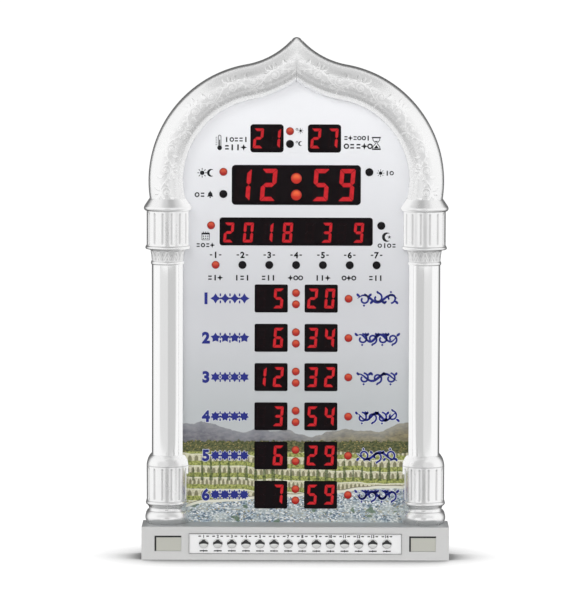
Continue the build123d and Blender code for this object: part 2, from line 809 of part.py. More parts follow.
def display_module(centre_x, centre_z, window, cells, drop, digit):
    """A display block behind its window, with one light track for each digit."""
    height, width, stroke = digit
    high, wide, half_stroke = height / 2, width / 2, stroke / 2
    inner = wide - stroke
    with BuildPart() as module:
        with BuildSketch(facing(module_face_y)) as block:
            with Locations((centre_x, centre_z)):
                Rectangle(window[0] + 2 * module_border, window[1] + 2 * module_border)
        extrude(block.sketch, amount=-module_depth)
        with BuildSketch(facing(module_face_y)) as tracks:
            with Locations(*[(centre_x + cell, centre_z - drop) for cell in cells]):
                outer = leaning((-wide, -high), (wide, -high), (wide, high), (-wide, high))
                upper = leaning(
                    (-inner, half_stroke),
                    (inner, half_stroke),
                    (inner, high - stroke),
                    (-inner, high - stroke),
                )
                lower = leaning(
                    (-inner, stroke - high),
                    (inner, stroke - high),
                    (inner, -half_stroke),
                    (-inner, -half_stroke),
                )
                Polygon(*outer, align=None)
                Polygon(*upper, align=None, mode=Mode.SUBTRACT)
                Polygon(*lower, align=None, mode=Mode.SUBTRACT)
        extrude(tracks.sketch, amount=-track_depth, mode=Mode.SUBTRACT)
    return module.part


modules = {}
for name, display in displays.items():
    digit = large_digit if name == "time_digits" else small_digit
    modules[name] = display_module(*display, digit)


# --- indicator lamps: low domes on the panel's face ---
def lamp_domes(centres, radius, height, seat):
    """Domed lamps of one size, seated at depth seat."""
    crown = height - lamp_collar
    dome_radius = (radius**2 + crown**2) / (2 * crown)
    latitude = degrees(asin((dome_radius - crown) / dome_radius))
    with BuildPart() as lamps:
        with Locations(facing(seat)):
            with Locations(*centres):
                Cylinder(radius, lamp_collar, align=(Align.CENTER, Align.CENTER, Align.MIN))
        with Locations(facing(seat - lamp_collar + dome_radius - crown)):
            with Locations(*centres):
                Sphere(dome_radius, arc_size1=latitude, align=None)
    return lamps.part


row_colon_centres = [
    (0, level + step * row_colon_offset) for level in row_levels for step in (-1, 1)
]
row_marker_centres = [(row_marker_x, level) for level in row_levels]
day_centres = [((day - (day_count - 1) / 2) * day_lamp_pitch, day_row_z) for day in range(day_count)]
status_centres = [
    (unit_lamp_x, top_row_z + unit_lamp_rises[0]),
    (unit_lamp_x, top_row_z + unit_lamp_rises[1]),
    (-mode_lamp_x, time_row_z + mode_lamp_rises[0]),
    (-mode_lamp_x, time_row_z + mode_lamp_rises[1]),
    (mode_lamp_x, time_row_z + mode_lamp_rises[0]),
    (-calendar_lamp_x, calendar_lamp_z),
    (calendar_lamp_x, calendar_lamp_z),
]
time_colon_centres = [(0, time_row_z + rise) for rise in time_colon_rises]
lamp_groups = {
    "row_colon_lamps": lamp_domes(row_colon_centres, lamp_radius, lamp_height, seat_y),
    "row_marker_lamps": lamp_domes(row_marker_centres, lamp_radius, lamp_height, seat_y),
    "day_lamps": lamp_domes(day_centres, lamp_radius, lamp_height, seat_y),
    "status_lamps": lamp_domes(status_centres, lamp_radius, lamp_height, seat_y),
    "time_colon_lamps": lamp_domes(
        time_colon_centres, colon_lamp_radius, colon_lamp_height, module_face_y
    ),
}

# --- display board, with its chips and coin-cell holder on the back ---
with BuildPart() as display_board:
    with BuildSketch(facing(board_y)) as board_outline:
        with Locations((0, board_neck_z)):
            Rectangle(board_top_width, board_top_z - board_neck_z, align=(Align.CENTER, Align.MIN))
            lower_height = board_neck_z - board_foot_z
            Rectangle(board_lower_width, lower_height, align=(Align.CENTER, Align.MAX))
    extrude(board_outline.sketch, amount=-board_thickness)

chip_step = (board_neck_z - board_foot_z) / (chip_count + 1)
with BuildPart() as driver_chips:
    with BuildSketch(facing(board_back_y)) as chip_outlines:
        for chip in range(chip_count):
            with Locations((0, board_foot_z + (chip + 1) * chip_step)):
                Rectangle(chip_width, chip_length)
    extrude(chip_outlines.sketch, amount=-chip_height)

with BuildPart() as coin_cell_holder:
    with BuildSketch(facing(board_back_y)) as holder_outline:
        with Locations((coin_holder_offset[0], board_neck_z + coin_holder_offset[1])):
            Circle(coin_holder_radius)
    extrude(holder_outline.sketch, amount=-coin_holder_height)

# --- loudspeaker on the rear cover, facing its grille ---
speaker_axis = Axis((speaker_x, cover_y, speaker_z), (0, 1, 0))
basket_back_y = cover_y - speaker_depth
speaker_plane = Plane((speaker_x, cover_y, speaker_z), x_dir=(1, 0, 0), z_dir=(0, 0, 1))
rim_radius = speaker_radius - speaker_flange
with BuildPart() as speaker_frame:
    with BuildSketch(speaker_plane) as basket_profile:
        Polygon(
            (speaker_radius, 0),
            (speaker_radius, -speaker_skin),
            (rim_radius, -speaker_skin),
            (basket_foot_radius, speaker_skin - speaker_depth),
            (basket_foot_radius, -speaker_depth),
            (0, -speaker_depth),
            (0, -speaker_depth + speaker_skin),
            (basket_foot_radius - speaker_skin, speaker_skin - speaker_depth),
            (rim_radius - speaker_skin, 0),
            align=None,
        )
    revolve(basket_profile.sketch, axis=speaker_axis)

with BuildPart() as speaker_cone:
    with BuildSketch(speaker_plane) as cone_profile:
        cone_rim = rim_radius - 3 * speaker_skin
        cone_foot = basket_foot_radius - 3 * speaker_skin
        Polygon(
            (0, speaker_skin - speaker_depth),
            (cone_foot, speaker_skin - speaker_depth),
            (cone_rim, -speaker_skin),
            (cone_rim - speaker_skin, -speaker_skin),
            (cone_foot - speaker_skin, 2 * speaker_skin - speaker_depth),
            (0, 2 * speaker_skin - speaker_depth),
            align=None,
        )
    revolve(cone_profile.sketch, axis=speaker_axis)

with BuildPart() as speaker_magnet:
    with BuildSketch(facing(basket_back_y)) as magnet_outline:
        with Locations((speaker_x, speaker_z)):
            Circle(magnet_radius)
    extrude(magnet_outline.sketch, amount=magnet_height)

# --- power inlet in the plinth's back ---
with BuildPart() as dc_jack:
    with Locations(facing(back_y)):
        with Locations((jack_x, button_row_z)):
            Cylinder(jack_radius, plinth_wall, align=(Align.CENTER, Align.CENTER, Align.MIN))
            with Locations((0, 0, plinth_wall)):
                Box(
                    jack_body_side,
                    jack_body_side,
                    jack_body_depth,
                    align=(Align.CENTER, Align.CENTER, Align.MIN),
                )
            Cylinder(
                jack_bore_radius,
                jack_bore_depth,
                align=(Align.CENTER, Align.CENTER, Align.MIN),
                mode=Mode.SUBTRACT,
            )
            Cylinder(jack_pin_radius, jack_bore_depth, align=(Align.CENTER, Align.CENTER, Align.MIN))

# --- files: one for each piece ---
pieces = {
    "arch_moulding": arch_moulding.part,
    "capital_left": capital_left.part,
    "capital_right": capital_right.part,
    "column_shaft_left": column_shaft_left.part,
    "column_shaft_right": column_shaft_right.part,
    "column_foot_left": column_foot_left.part,
    "column_foot_right": column_foot_right.part,
    "front_panel": front_panel.part,
    "rear_cover": rear_cover.part,
    "cover_screws": cover_screws.part,
    "plinth": plinth.part,
    "plinth_base_plate": plinth_base_plate.part,
    "button_bezel": button_bezel.part,
    "tact_switches": tact_switches.part,
    "button_board": button_board.part,
    "ir_receiver": ir_receiver.part,
    "display_board": display_board.part,
    "driver_chips": driver_chips.part,
    "coin_cell_holder": coin_cell_holder.part,
    "speaker_frame": speaker_frame.part,
    "speaker_cone": speaker_cone.part,
    "speaker_magnet": speaker_magnet.part,
    "dc_jack": dc_jack.part,
}
pieces.update(inlays)
pieces.update(buttons)
pieces.update(modules)
pieces.update(lamp_groups)

os.makedirs("parts", exist_ok=True)
for name, piece in pieces.items():
    piece.label = name
    export_step(piece, f"parts/{name}.step")
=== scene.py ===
"""Prayer-time clock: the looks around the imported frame.

Lengths are in metres, and in millimetres where a docstring says so. Every piece stands in the frame's own place: +X to
the right, +Y to the back, +Z up.
"""

import logging
import math
from dataclasses import dataclass, field
from enum import Enum
from typing import Sequence

import bmesh
import bpy
import numpy as np
from mathutils import Matrix, Vector


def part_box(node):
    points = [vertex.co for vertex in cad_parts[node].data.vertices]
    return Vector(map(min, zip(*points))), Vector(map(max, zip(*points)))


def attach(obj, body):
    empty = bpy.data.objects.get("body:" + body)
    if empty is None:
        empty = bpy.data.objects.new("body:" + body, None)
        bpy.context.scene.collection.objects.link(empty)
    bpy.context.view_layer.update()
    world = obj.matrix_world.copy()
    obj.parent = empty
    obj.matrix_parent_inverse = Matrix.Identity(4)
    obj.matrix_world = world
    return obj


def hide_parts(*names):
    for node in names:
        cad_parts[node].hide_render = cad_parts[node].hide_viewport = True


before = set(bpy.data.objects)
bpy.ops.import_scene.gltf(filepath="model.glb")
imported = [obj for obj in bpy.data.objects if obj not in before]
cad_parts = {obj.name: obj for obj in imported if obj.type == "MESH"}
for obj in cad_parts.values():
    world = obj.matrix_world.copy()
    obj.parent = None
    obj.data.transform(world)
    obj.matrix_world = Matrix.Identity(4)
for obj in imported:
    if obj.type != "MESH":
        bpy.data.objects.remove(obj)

MM = 0.001
TURN = 2 * math.pi
HOUSING = "housing"
FACE_Y = 0.0185
ROW_LEVELS = [362.4 - row * 55.42 for row in range(6)]
DAY_PLACES = [(day - 3) * 37.6 for day in range(7)]
BUTTON_PITCH = 19.7
BUTTON_ROW_Z = 23.0
LOG = logging.getLogger("clock")

Colour = tuple[float, float, float]
Point = tuple[float, float]


# ---------------------------------------------------------------- node building
class Signal:
    """A node's output that takes part in sums."""

    def __init__(self, graph: "Graph", socket: bpy.types.NodeSocket) -> None:
        """Keeps the output and the graph it belongs to."""
        self.graph, self.socket = graph, socket

    def __add__(self, other: object) -> "Signal":
        """The sum."""
        return self.graph.math("ADD", self, other)

    def __sub__(self, other: object) -> "Signal":
        """The difference."""
        return self.graph.math("SUBTRACT", self, other)

    def __rsub__(self, other: object) -> "Signal":
        """The difference from a number."""
        return self.graph.math("SUBTRACT", other, self)

    def __mul__(self, other: object) -> "Signal":
        """The product."""
        return self.graph.math("MULTIPLY", self, other)

    def __truediv__(self, other: object) -> "Signal":
        """The quotient."""
        return self.graph.math("DIVIDE", self, other)

    def __abs__(self) -> "Signal":
        """The value without its sign."""
        return self.graph.math("ABSOLUTE", self)


class Graph:
    """Places and links the nodes of one node tree."""

    def __init__(self, tree: bpy.types.NodeTree) -> None:
        """Wraps a node tree."""
        self.tree = tree

    def fill(self, node: bpy.types.Node, inputs: dict[str | int, object]) -> None:
        """Feeds a node's inputs.

        Args:
            node: the node.
            inputs: a signal to link or a plain value to set, by the input's name or number.
        """
        for key, value in inputs.items():
            if isinstance(value, Signal):
                self.tree.links.new(value.socket, node.inputs[key])
            else:
                node.inputs[key].default_value = value

    def node(self, kind: str, inputs: dict[str | int, object] | None = None, **settings: object) -> bpy.types.Node:
        """Adds a node.

        Args:
            kind: its type, without the leading ShaderNode.
            inputs: what feeds its inputs.
            **settings: its properties.

        Returns:
            The new node.
        """
        made = self.tree.nodes.new("ShaderNode" + kind)
        for name, value in settings.items():
            setattr(made, name, value)
        self.fill(made, inputs or {})
        return made

    def signal(self, kind: str, output: str | int, inputs: dict[str | int, object] | None = None,
               **settings: object) -> Signal:
        """Adds a node as node() does and gives one of its outputs."""
        return Signal(self, self.node(kind, inputs, **settings).outputs[output])

    def math(self, operation: str, *values: object) -> Signal:
        """Adds a Math node."""
        return self.signal("Math", 0, dict(enumerate(values)), operation=operation)

    def ramp(self, value: Signal, low: float, high: float, start: float = 0.0, end: float = 1.0,
             smooth: bool = True) -> Signal:
        """Maps a value from one range to another, clamped.

        Args:
            value: the value to map.
            low: where the first range starts.
            high: where it ends.
            start: result at low.
            end: result at high.
            smooth: True eases in and out, False is a straight line.

        Returns:
            The mapped value.
        """
        kind = "SMOOTHSTEP" if smooth else "LINEAR"
        given = dict(enumerate((value, low, high, start, end)))
        return self.signal("MapRange", 0, given, interpolation_type=kind, clamp=True)

    def mix(self, mask: Signal, first: object, second: object) -> Signal:
        """Mixes two colours, where a mask of 0 gives the first and 1 the second."""
        first, second = ((*item, 1.0) if isinstance(item, tuple) else item for item in (first, second))
        return self.signal("Mix", "Result", {"Factor": mask, "A": first, "B": second}, data_type="RGBA")

    def noise(self, place: Signal, scale: object, detail: float = 2.0, roughness: float = 0.5,
              form: str = "3D") -> Signal:
        """Adds a Noise Texture.

        Args:
            place: the vector it reads, or the number in 1D.
            scale: cells per metre.
            detail: octaves.
            roughness: weight of the fine octaves.
            form: 1D or 3D.

        Returns:
            The noise value.
        """
        given = {"W" if form == "1D" else "Vector": place, "Scale": scale, "Detail": detail, "Roughness": roughness}
        return self.signal("TexNoise", "Fac", given, noise_dimensions=form)

    def cells(self, place: Signal, scale: float, output: str = "Distance") -> Signal:
        """Adds a Voronoi Texture."""
        return self.signal("TexVoronoi", output, {"Vector": place, "Scale": scale}, feature="F1")

    def place(self) -> Signal:
        """The point in the object's own coordinates."""
        return self.signal("TexCoord", "Object")

    def split(self, value: Signal, kind: str = "SeparateXYZ") -> list[Signal]:
        """Splits a vector or a colour into its three numbers."""
        return [Signal(self, output) for output in self.node(kind, {0: value}).outputs]

    def plane(self, x: Signal, z: Signal) -> Signal:
        """Joins x and z into a vector."""
        return self.signal("CombineXYZ", 0, {"X": x, "Z": z})

    def attribute(self, name: str) -> Signal:
        """Reads a number that the mesh carries."""
        return self.signal("Attribute", "Fac", attribute_name=name)

    def either(self, mask: Signal, first: Signal, second: Signal) -> Signal:
        """Mixes two shaders, where a mask of 0 gives the first and 1 the second."""
        return self.signal("MixShader", 0, {0: mask, 1: first, 2: second})

    def seen_directly(self, rays: bpy.types.Node) -> Signal:
        """Mask of the rays that come from the camera, also through glass."""
        seen = [Signal(self, rays.outputs[f"Is {kind} Ray"]) for kind in ("Camera", "Transmission")]
        return self.math("MAXIMUM", *seen)


def new_material(name: str) -> tuple[bpy.types.Material, Graph, bpy.types.Node]:
    """Starts a material.

    Args:
        name: its name.

    Returns:
        The material, its graph and its shader.
    """
    made = bpy.data.materials.new(name)
    made.use_nodes = True
    return made, Graph(made.node_tree), made.node_tree.nodes["Principled BSDF"]


def new_group(name: str, given: str, default: float, outputs: Sequence[str]) -> tuple[Graph, Signal, bpy.types.Node]:
    """Starts a shader node group with one input.

    Args:
        name: the group's name.
        given: name of its input.
        default: the input's default value.
        outputs: names of its outputs.

    Returns:
        Its graph, its input and its output node.
    """
    tree = bpy.data.node_groups.new(name, "ShaderNodeTree")
    tree.interface.new_socket(given, in_out="INPUT", socket_type="NodeSocketFloat").default_value = default
    for label in outputs:
        tree.interface.new_socket(label, in_out="OUTPUT", socket_type="NodeSocketFloat")
    graph = Graph(tree)
    return graph, Signal(graph, tree.nodes.new("NodeGroupInput").outputs[given]), tree.nodes.new("NodeGroupOutput")


class Effects:
    """Node groups that several finishes share, each built once."""

    def __init__(self) -> None:
        """Builds the groups."""
        self.grain = self.build_grain()
        self.handling = self.build_handling()

    @staticmethod
    def build_grain() -> bpy.types.NodeTree:
        """Fine moulded grain: a height for the bump and a shift for the roughness.

        Returns:
            The group.
        """
        graph, scale, result = new_group("fine_grain", "Scale", 900.0, ("Height", "Shift"))
        place = graph.place()
        graph.fill(result, {"Height": graph.noise(place, scale, 3.0), "Shift": graph.noise(place, 14.0, 3.0) - 0.5})
        return graph.tree

    @staticmethod
    def build_handling() -> bpy.types.NodeTree:
        """Faint wipe marks and dust: a mask of slightly duller patches.

        Returns:
            The group.
        """
        graph, amount, result = new_group("handling", "Amount", 1.0, ("Mask",))
        stretch = graph.signal("Mapping", "Vector", {"Vector": graph.place(), "Scale": (1.0, 1.0, 0.35)})
        graph.fill(result, {"Mask": graph.ramp(graph.noise(stretch, 38.0, 5.0, 0.62), 0.52, 0.78) * amount})
        return graph.tree


@dataclass(frozen=True)
class Finish:
    """One surface finish: the plain values of its shader and how strong its fine structure is; its colour for hollows,
    where given, paints shade into hollows and joints.
    """

    name: str
    colour: Colour
    roughness: float
    metallic: float = 0.0
    coat: float = 0.0
    grain_scale: float = 900.0
    grain_height: float = 0.00002
    wear: float = 0.06
    recess_colour: Colour | None = None
    recess_roughness: float = 0.45
    stipple: float = 0.0
    specular: float = 0.5
    worn_share: float = 0.86

    def material(self, effects: Effects) -> bpy.types.Material:
        """Builds the material.

        Args:
            effects: the shared node groups.

        Returns:
            The new material.
        """
        made, graph, shader = new_material(self.name)
        grain = graph.node("Group", {"Scale": self.grain_scale}, node_tree=effects.grain)
        height, shift = (Signal(graph, grain.outputs[name]) for name in ("Height", "Shift"))
        smear = graph.signal("Group", "Mask", {"Amount": self.wear}, node_tree=effects.handling)
        colour: object = self.colour
        rough = shift * 0.10 + self.roughness
        # Painted shade: the attribute read here darkens hollows, flutes and joints towards the finish's colour for
        # hollows; the punched dots take some of it away.
        if self.recess_colour is not None:
            recess = graph.attribute("recess")
            if self.stipple:
                dots = self.dots(graph)
                height = dots * self.stipple + height
                recess = recess * (1.0 - dots)
            colour = graph.mix(recess, self.colour, self.recess_colour)
            rough = rough + recess * (self.recess_roughness - self.roughness)
        worn = tuple(channel * self.worn_share for channel in self.colour)
        graph.fill(shader, {
            "Base Color": graph.mix(smear * 0.5, colour, worn),
            "Roughness": rough + smear,
            "Normal": graph.signal("Bump", "Normal", {"Distance": self.grain_height, "Height": height}),
            "Metallic": self.metallic,
            "Coat Weight": self.coat,
            "Coat Roughness": 0.08,
            "Specular IOR Level": self.specular,
        })
        return made

    @staticmethod
    def dots(graph: Graph) -> Signal:
        """The punched dots of the ground, where the margin attribute asks for them."""
        return graph.ramp(graph.cells(graph.place(), 480.0), 0.15, 0.55, 1.0, 0.0) * graph.attribute("margin")


@dataclass(frozen=True)
class LampGlass:
    """A lit lamp's plastic, with a painted highlight in its upper part and painted shade towards its rim."""

    name: str
    body: Colour
    highlight_colour: Colour
    edge: Colour
    strength: float

    def material(self) -> bpy.types.Material:
        """Builds the material; the upper attribute paints a highlight and the rim attribute paints shade on the dome.

        Returns:
            The new material.
        """
        made, graph, shader = new_material(self.name)
        # Painted highlight on the upper part, then painted shade towards the rim.
        upper = graph.mix(graph.attribute("upper"), self.body, self.highlight_colour)
        graph.fill(shader, {
            "Emission Color": graph.mix(graph.attribute("rim"), upper, self.edge),
            "Emission Strength": self.strength,
            "Base Color": (*(channel * 0.12 for channel in self.body), 1.0),
            "Roughness": 0.22,
        })
        return made


@dataclass(frozen=True)
class LightTrack:
    """A lit segment: nearly even red light."""

    name: str
    colour: Colour
    strength: float

    def material(self) -> bpy.types.Material:
        """Builds the material, with faint unevenness along the track.

        Returns:
            The new material.
        """
        made, graph, shader = new_material(self.name)
        uneven = graph.ramp(graph.noise(graph.place(), 210.0, 2.0), 0.3, 0.7)
        dim = tuple(channel * 0.78 for channel in self.colour)
        graph.fill(shader, {
            "Emission Color": graph.mix(uneven, self.colour, dim),
            "Emission Strength": self.strength,
            "Base Color": (*(channel * 0.1 for channel in self.colour), 1.0),
            "Roughness": 0.5,
            "Specular IOR Level": 0.1,
        })
        return made


@dataclass(frozen=True)
class ButtonFinish:
    """Pale silver caps with a painted reflection, a black wedge on the upper half of each, and painted shade along the
    lower rim; lengths in millimetres.
    """

    arc_drop: float = 12.1
    wedge_foot: float = 5.7
    metallic: float = 0.2

    def material(self, effects: Effects) -> bpy.types.Material:
        """Builds the material; every mark is worked out from the distance to the nearest cap's centre.

        Args:
            effects: the shared node groups.

        Returns:
            The new material.
        """
        made = Finish("button_silver", (0.82, 0.82, 0.81), 0.32, metallic=self.metallic, coat=0.2).material(effects)
        graph, shader = Graph(made.node_tree), made.node_tree.nodes["Principled BSDF"]
        plain = Signal(graph, shader.inputs["Base Color"].links[0].from_socket)
        x, _, z = graph.split(graph.place())
        cell = graph.math("FRACT", x / (BUTTON_PITCH * MM) + 10.0)
        u = (cell - 0.5) * BUTTON_PITCH
        w = (z - BUTTON_ROW_Z * MM) * (1 / MM)
        half = graph.math("POWER", graph.math("MAXIMUM", self.wedge_foot - w, 0.0), 1.3) * 0.74 + 1.5
        drop = w + self.arc_drop
        arc = graph.math("SQRT", u * u + drop * drop)
        # Painted reflection: the black wedge stands in for dark surroundings mirrored in the upper half of a silver
        # dome.
        painted_reflection = graph.ramp(abs(u) - half, 0.15, -0.15) * (graph.ramp(w, 5.8, 5.5) * graph.ramp(arc, 12.15, 12.5))
        ring = graph.math("SQRT", u * u + w * w)
        # Painted shade: a grey ring along the lower half of each cap's rim.
        outline = graph.ramp(ring, 5.6, 6.1) * graph.ramp(w, 2.5, -2.0, 0.25, 0.5)
        shaded = graph.mix(outline, plain, (0.20, 0.20, 0.20))
        graph.fill(shader, {"Base Color": graph.mix(painted_reflection, shaded, (0.012, 0.012, 0.013)),
                            "Metallic": (1.0 - painted_reflection) * self.metallic})
        return made


class PanelPrint:
    """The face's print: a pale sky over hills, an orchard, a terraced garden and a paved court."""

    edge_blur = 0.0008

    def __init__(self, effects: Effects) -> None:
        """Builds the material.

        Args:
            effects: the shared node groups.
        """
        self.made = Finish("panel_print", (0.72, 0.73, 0.75), 0.36, grain_height=0.000008, wear=0.04,
                           specular=0.35).material(effects)
        self.graph = Graph(self.made.node_tree)
        self.x, _, self.z = self.graph.split(self.graph.place())
        colour = self.court(self.terraces(self.orchard(self.sky_and_hills())))
        self.graph.fill(self.made.node_tree.nodes["Principled BSDF"], {"Base Color": colour})

    def in_front(self, edge: Signal, behind: Signal, colour: Signal) -> Signal:
        """Covers what is behind with a colour below an edge."""
        return self.graph.mix(self.graph.ramp(self.z - edge, self.edge_blur, -self.edge_blur), behind, colour)

    def sky_and_hills(self) -> Signal:
        """The sky, paler upwards, and the far hills.

        Returns:
            Their colour.
        """
        graph, x, z = self.graph, self.x, self.z
        low = graph.mix(graph.ramp(z, 0.20, 0.32, smooth=False), (0.548, 0.575, 0.588), (0.68, 0.688, 0.716))
        sky = graph.mix(graph.ramp(z, 0.36, 0.62, smooth=False), low, (0.95, 0.957, 0.985))
        gap = z - (graph.noise(x + 3.1, 13.0, 5.0, 0.5, "1D") * 0.034 + 0.1565 + abs(x - 0.015) * 0.055)
        folds = graph.ramp(graph.noise(graph.plane(x, z * 2.2), 95.0, 5.0, 0.62), 0.32, 0.68)
        left = graph.mix(folds, (0.13, 0.13, 0.165), (0.24, 0.235, 0.25))
        right = graph.mix(folds, (0.15, 0.13, 0.085), (0.32, 0.28, 0.16))
        hills = graph.mix(graph.ramp(x, -0.05, 0.11), left, right)
        hazy = graph.mix(graph.ramp(gap, 0.0, -0.02, 0.35, 0.0), hills, (0.46, 0.48, 0.50))
        return graph.mix(graph.ramp(gap, 0.0006, -0.0006), sky, hazy)

    def orchard(self, behind: Signal) -> Signal:
        """A belt of dark orchard with warm lights, in front of what is behind.

        Args:
            behind: the colour so far.

        Returns:
            The new colour.
        """
        graph = self.graph
        place = graph.plane(self.x, self.z * 1.6)
        clump = graph.ramp(graph.noise(place, 260.0, 4.0, 0.6), 0.35, 0.65)
        leaves = graph.mix(clump, (0.035, 0.05, 0.022), (0.16, 0.165, 0.06))
        lit = graph.mix(graph.ramp(graph.cells(place, 300.0), 0.30, 0.12) * 0.75, leaves, (0.72, 0.50, 0.17))
        return self.in_front(graph.noise(self.x + 7.0, 120.0, 4.0, 0.6, "1D") * 0.011 + 0.156, behind, lit)

    def terraces(self, behind: Signal) -> Signal:
        """Garden terraces, pale arcaded walls between bright hedges, with slim trees.

        Args:
            behind: the colour so far.

        Returns:
            The new colour.
        """
        graph, x, z = self.graph, self.x, self.z
        sway = graph.noise(x + 1.7, 22.0, 2.0, 0.5, "1D")
        step = (z + (x * 0.035 + sway * 0.006)) / 0.0165
        share = graph.math("FRACT", step)
        size = graph.math("MODULO", graph.math("FLOOR", step), 3.0) * 0.0016 + 0.0058
        bay = graph.math("FRACT", x / size + 40.0) - 0.5
        crown = 0.46 - bay * bay * 2.4
        opening = graph.ramp(abs(bay), 0.31, 0.27) * graph.ramp(share - crown, 0.03, -0.03)
        rough = graph.noise(graph.plane(x, z), 330.0, 4.0, 0.6)
        wall = graph.mix(graph.ramp(rough, 0.3, 0.7), (0.50, 0.47, 0.30), (0.80, 0.78, 0.60))
        wall = graph.mix(opening * 0.8, wall, (0.14, 0.13, 0.05))
        hedge = graph.mix(graph.ramp(rough, 0.35, 0.62), (0.12, 0.15, 0.035), (0.47, 0.50, 0.15))
        cornice = graph.mix(graph.ramp(share, 0.62, 0.58), hedge, (0.86, 0.85, 0.72))
        body = graph.mix(graph.ramp(share, 0.56, 0.53), cornice, wall)
        slot = (x + 0.5) / 0.0125
        chance = graph.signal("TexWhiteNoise", "Value", {"W": graph.math("FLOOR", slot)}, noise_dimensions="1D")
        reach = graph.math("SQRT", graph.math("MAXIMUM", chance * 0.034 + 0.118 - z, 0.0))
        away = abs(graph.math("FRACT", slot) - 0.5)
        tree = graph.ramp(away - reach * 1.15, 0.02, -0.05) * graph.ramp(z, 0.1045, 0.1060)
        tree = tree * graph.ramp(away, 0.22, 0.19)
        needles = graph.mix(graph.ramp(rough, 0.4, 0.6), (0.03, 0.05, 0.018), (0.13, 0.17, 0.05))
        return self.in_front(sway * 0.006 + 0.1425, behind, graph.mix(tree * 0.85, body, needles))

    def court(self, behind: Signal) -> Signal:
        """The paved court in front, speckled blue and grey, with a pale kerb.

        Args:
            behind: the colour so far.

        Returns:
            The new colour.
        """
        graph, x, z = self.graph, self.x, self.z
        gap = z - (graph.noise(x + 5.2, 9.0, 2.0, 0.5, "1D") * 0.022 + (x * 0.085 + 0.077))
        place = graph.plane(x, z * 1.7)
        pick = graph.split(graph.cells(place, 430.0, "Color"), "SeparateColor")
        tone = graph.mix(graph.ramp(pick[0], 0.25, 0.75, smooth=False), (0.10, 0.155, 0.22), (0.52, 0.60, 0.66))
        tone = graph.mix(graph.ramp(pick[1], 0.78, 0.84), tone, (0.86, 0.88, 0.88))
        tone = graph.mix(graph.ramp(pick[2], 0.90, 0.94), tone, (0.30, 0.27, 0.16))
        patches = graph.ramp(graph.noise(place, 34.0, 3.0), 0.42, 0.62) * 0.5
        planted = graph.ramp(graph.noise(place, 52.0, 2.0), 0.60, 0.64) * 0.8
        tone = graph.mix(planted, graph.mix(patches, tone, (0.62, 0.66, 0.62)), (0.10, 0.17, 0.09))
        kerb = graph.mix(graph.ramp(gap, -0.0052, -0.0044), tone, (0.80, 0.79, 0.68))
        shade = graph.mix(graph.ramp(gap, -0.0013, -0.0008), kerb, (0.22, 0.20, 0.13))
        return graph.mix(graph.ramp(gap, 0.0004, -0.0004), behind, shade)


# ---------------------------------------------------------------- mesh helpers
def link_mesh(bm: bmesh.types.BMesh, name: str, material: bpy.types.Material) -> bpy.types.Object:
    """Turns a bmesh into an object of the scene and frees it.

    Args:
        bm: the mesh, already in place.
        name: the object's name.
        material: its finish.

    Returns:
        The new object, at the origin.
    """
    mesh = bpy.data.meshes.new(name)
    bm.to_mesh(mesh)
    bm.free()
    mesh.materials.append(material)
    piece = bpy.data.objects.new(name, mesh)
    bpy.context.scene.collection.objects.link(piece)
    return piece


def finish_mesh(bm: bmesh.types.BMesh, name: str, material: bpy.types.Material, body: str,
                smooth_angle: float | None = None, nodes: Sequence[str] = ()) -> None:
    """Turns a bmesh into a finished piece that rides on a body.

    Args:
        bm: the mesh, already in place; it is freed.
        name: the piece's name.
        material: its finish.
        body: the CAD body it moves with.
        smooth_angle: edges sharper than this stay sharp; None leaves every face flat.
        nodes: the CAD nodes it stands for.
    """
    piece = link_mesh(bm, name, material)
    if smooth_angle is not None:
        piece.data.polygons.foreach_set("use_smooth", [True] * len(piece.data.polygons))
        piece.data.set_sharp_from_angle(angle=math.radians(smooth_angle))
    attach(piece, body)
    if nodes:
        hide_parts(*nodes)


def dress(piece: bpy.types.Object, material: bpy.types.Material) -> None:
    """Gives a piece one finish all over."""
    piece.data.materials.clear()
    piece.data.materials.append(material)


def rectangle(left: float, low: float, right: float, high: float) -> list[Point]:
    """Corners of an upright rectangle."""
    return [(left, low), (right, low), (right, high), (left, high)]


def picked(items: Sequence[object], kind: type) -> list:
    """The corners, edges or faces among an operator's results."""
    return [item for item in items if isinstance(item, kind)]


def polygon_face(bm: bmesh.types.BMesh, outline: Sequence[Point], front: float) -> bmesh.types.BMFace:
    """Adds one flat face that faces the front.

    Args:
        bm: the mesh to add to.
        outline: its corners as (x, z).
        front: its y.

    Returns:
        The face.
    """
    face = bm.faces.new([bm.verts.new((x, front, z)) for x, z in outline])
    face.normal_update()
    if face.normal.y > 0:
        face.normal_flip()
    return face


def polygon(bm: bmesh.types.BMesh, outline: Sequence[Point], front: float, thickness: float, rim: float = 0.0) -> None:
    """Adds a flat plate that faces the front.

    Args:
        bm: the mesh to add to.
        outline: the plate's corners as (x, z).
        front: y of its front face.
        thickness: how far it reaches back.
        rim: width of the bevel round its front face.
    """
    face = polygon_face(bm, outline, front)
    corners = list(face.verts)
    moved = picked(bmesh.ops.extrude_face_region(bm, geom=[face])["geom"], bmesh.types.BMVert)
    bmesh.ops.translate(bm, verts=moved, vec=(0, thickness, 0))
    bmesh.ops.recalc_face_normals(bm, faces=list({f for v in corners + moved for f in v.link_faces}))
    if rim:
        front_edges = {e for v in corners for e in v.link_edges if abs(e.other_vert(v).co.y - front) < 1e-7}
        bmesh.ops.bevel(bm, geom=list(front_edges), offset=rim, offset_type="OFFSET", segments=2, profile=0.5,
                        affect="EDGES", material=-1)


def chain(bm: bmesh.types.BMesh, places: Sequence[Sequence[float]]) -> tuple[list, list]:
    """Adds a chain of corners and edges.

    Args:
        bm: the mesh to add to.
        places: where the corners go.

    Returns:
        The corners and the edges.
    """
    corners = [bm.verts.new(place) for place in places]
    return corners, [bm.edges.new(pair) for pair in zip(corners, corners[1:])]


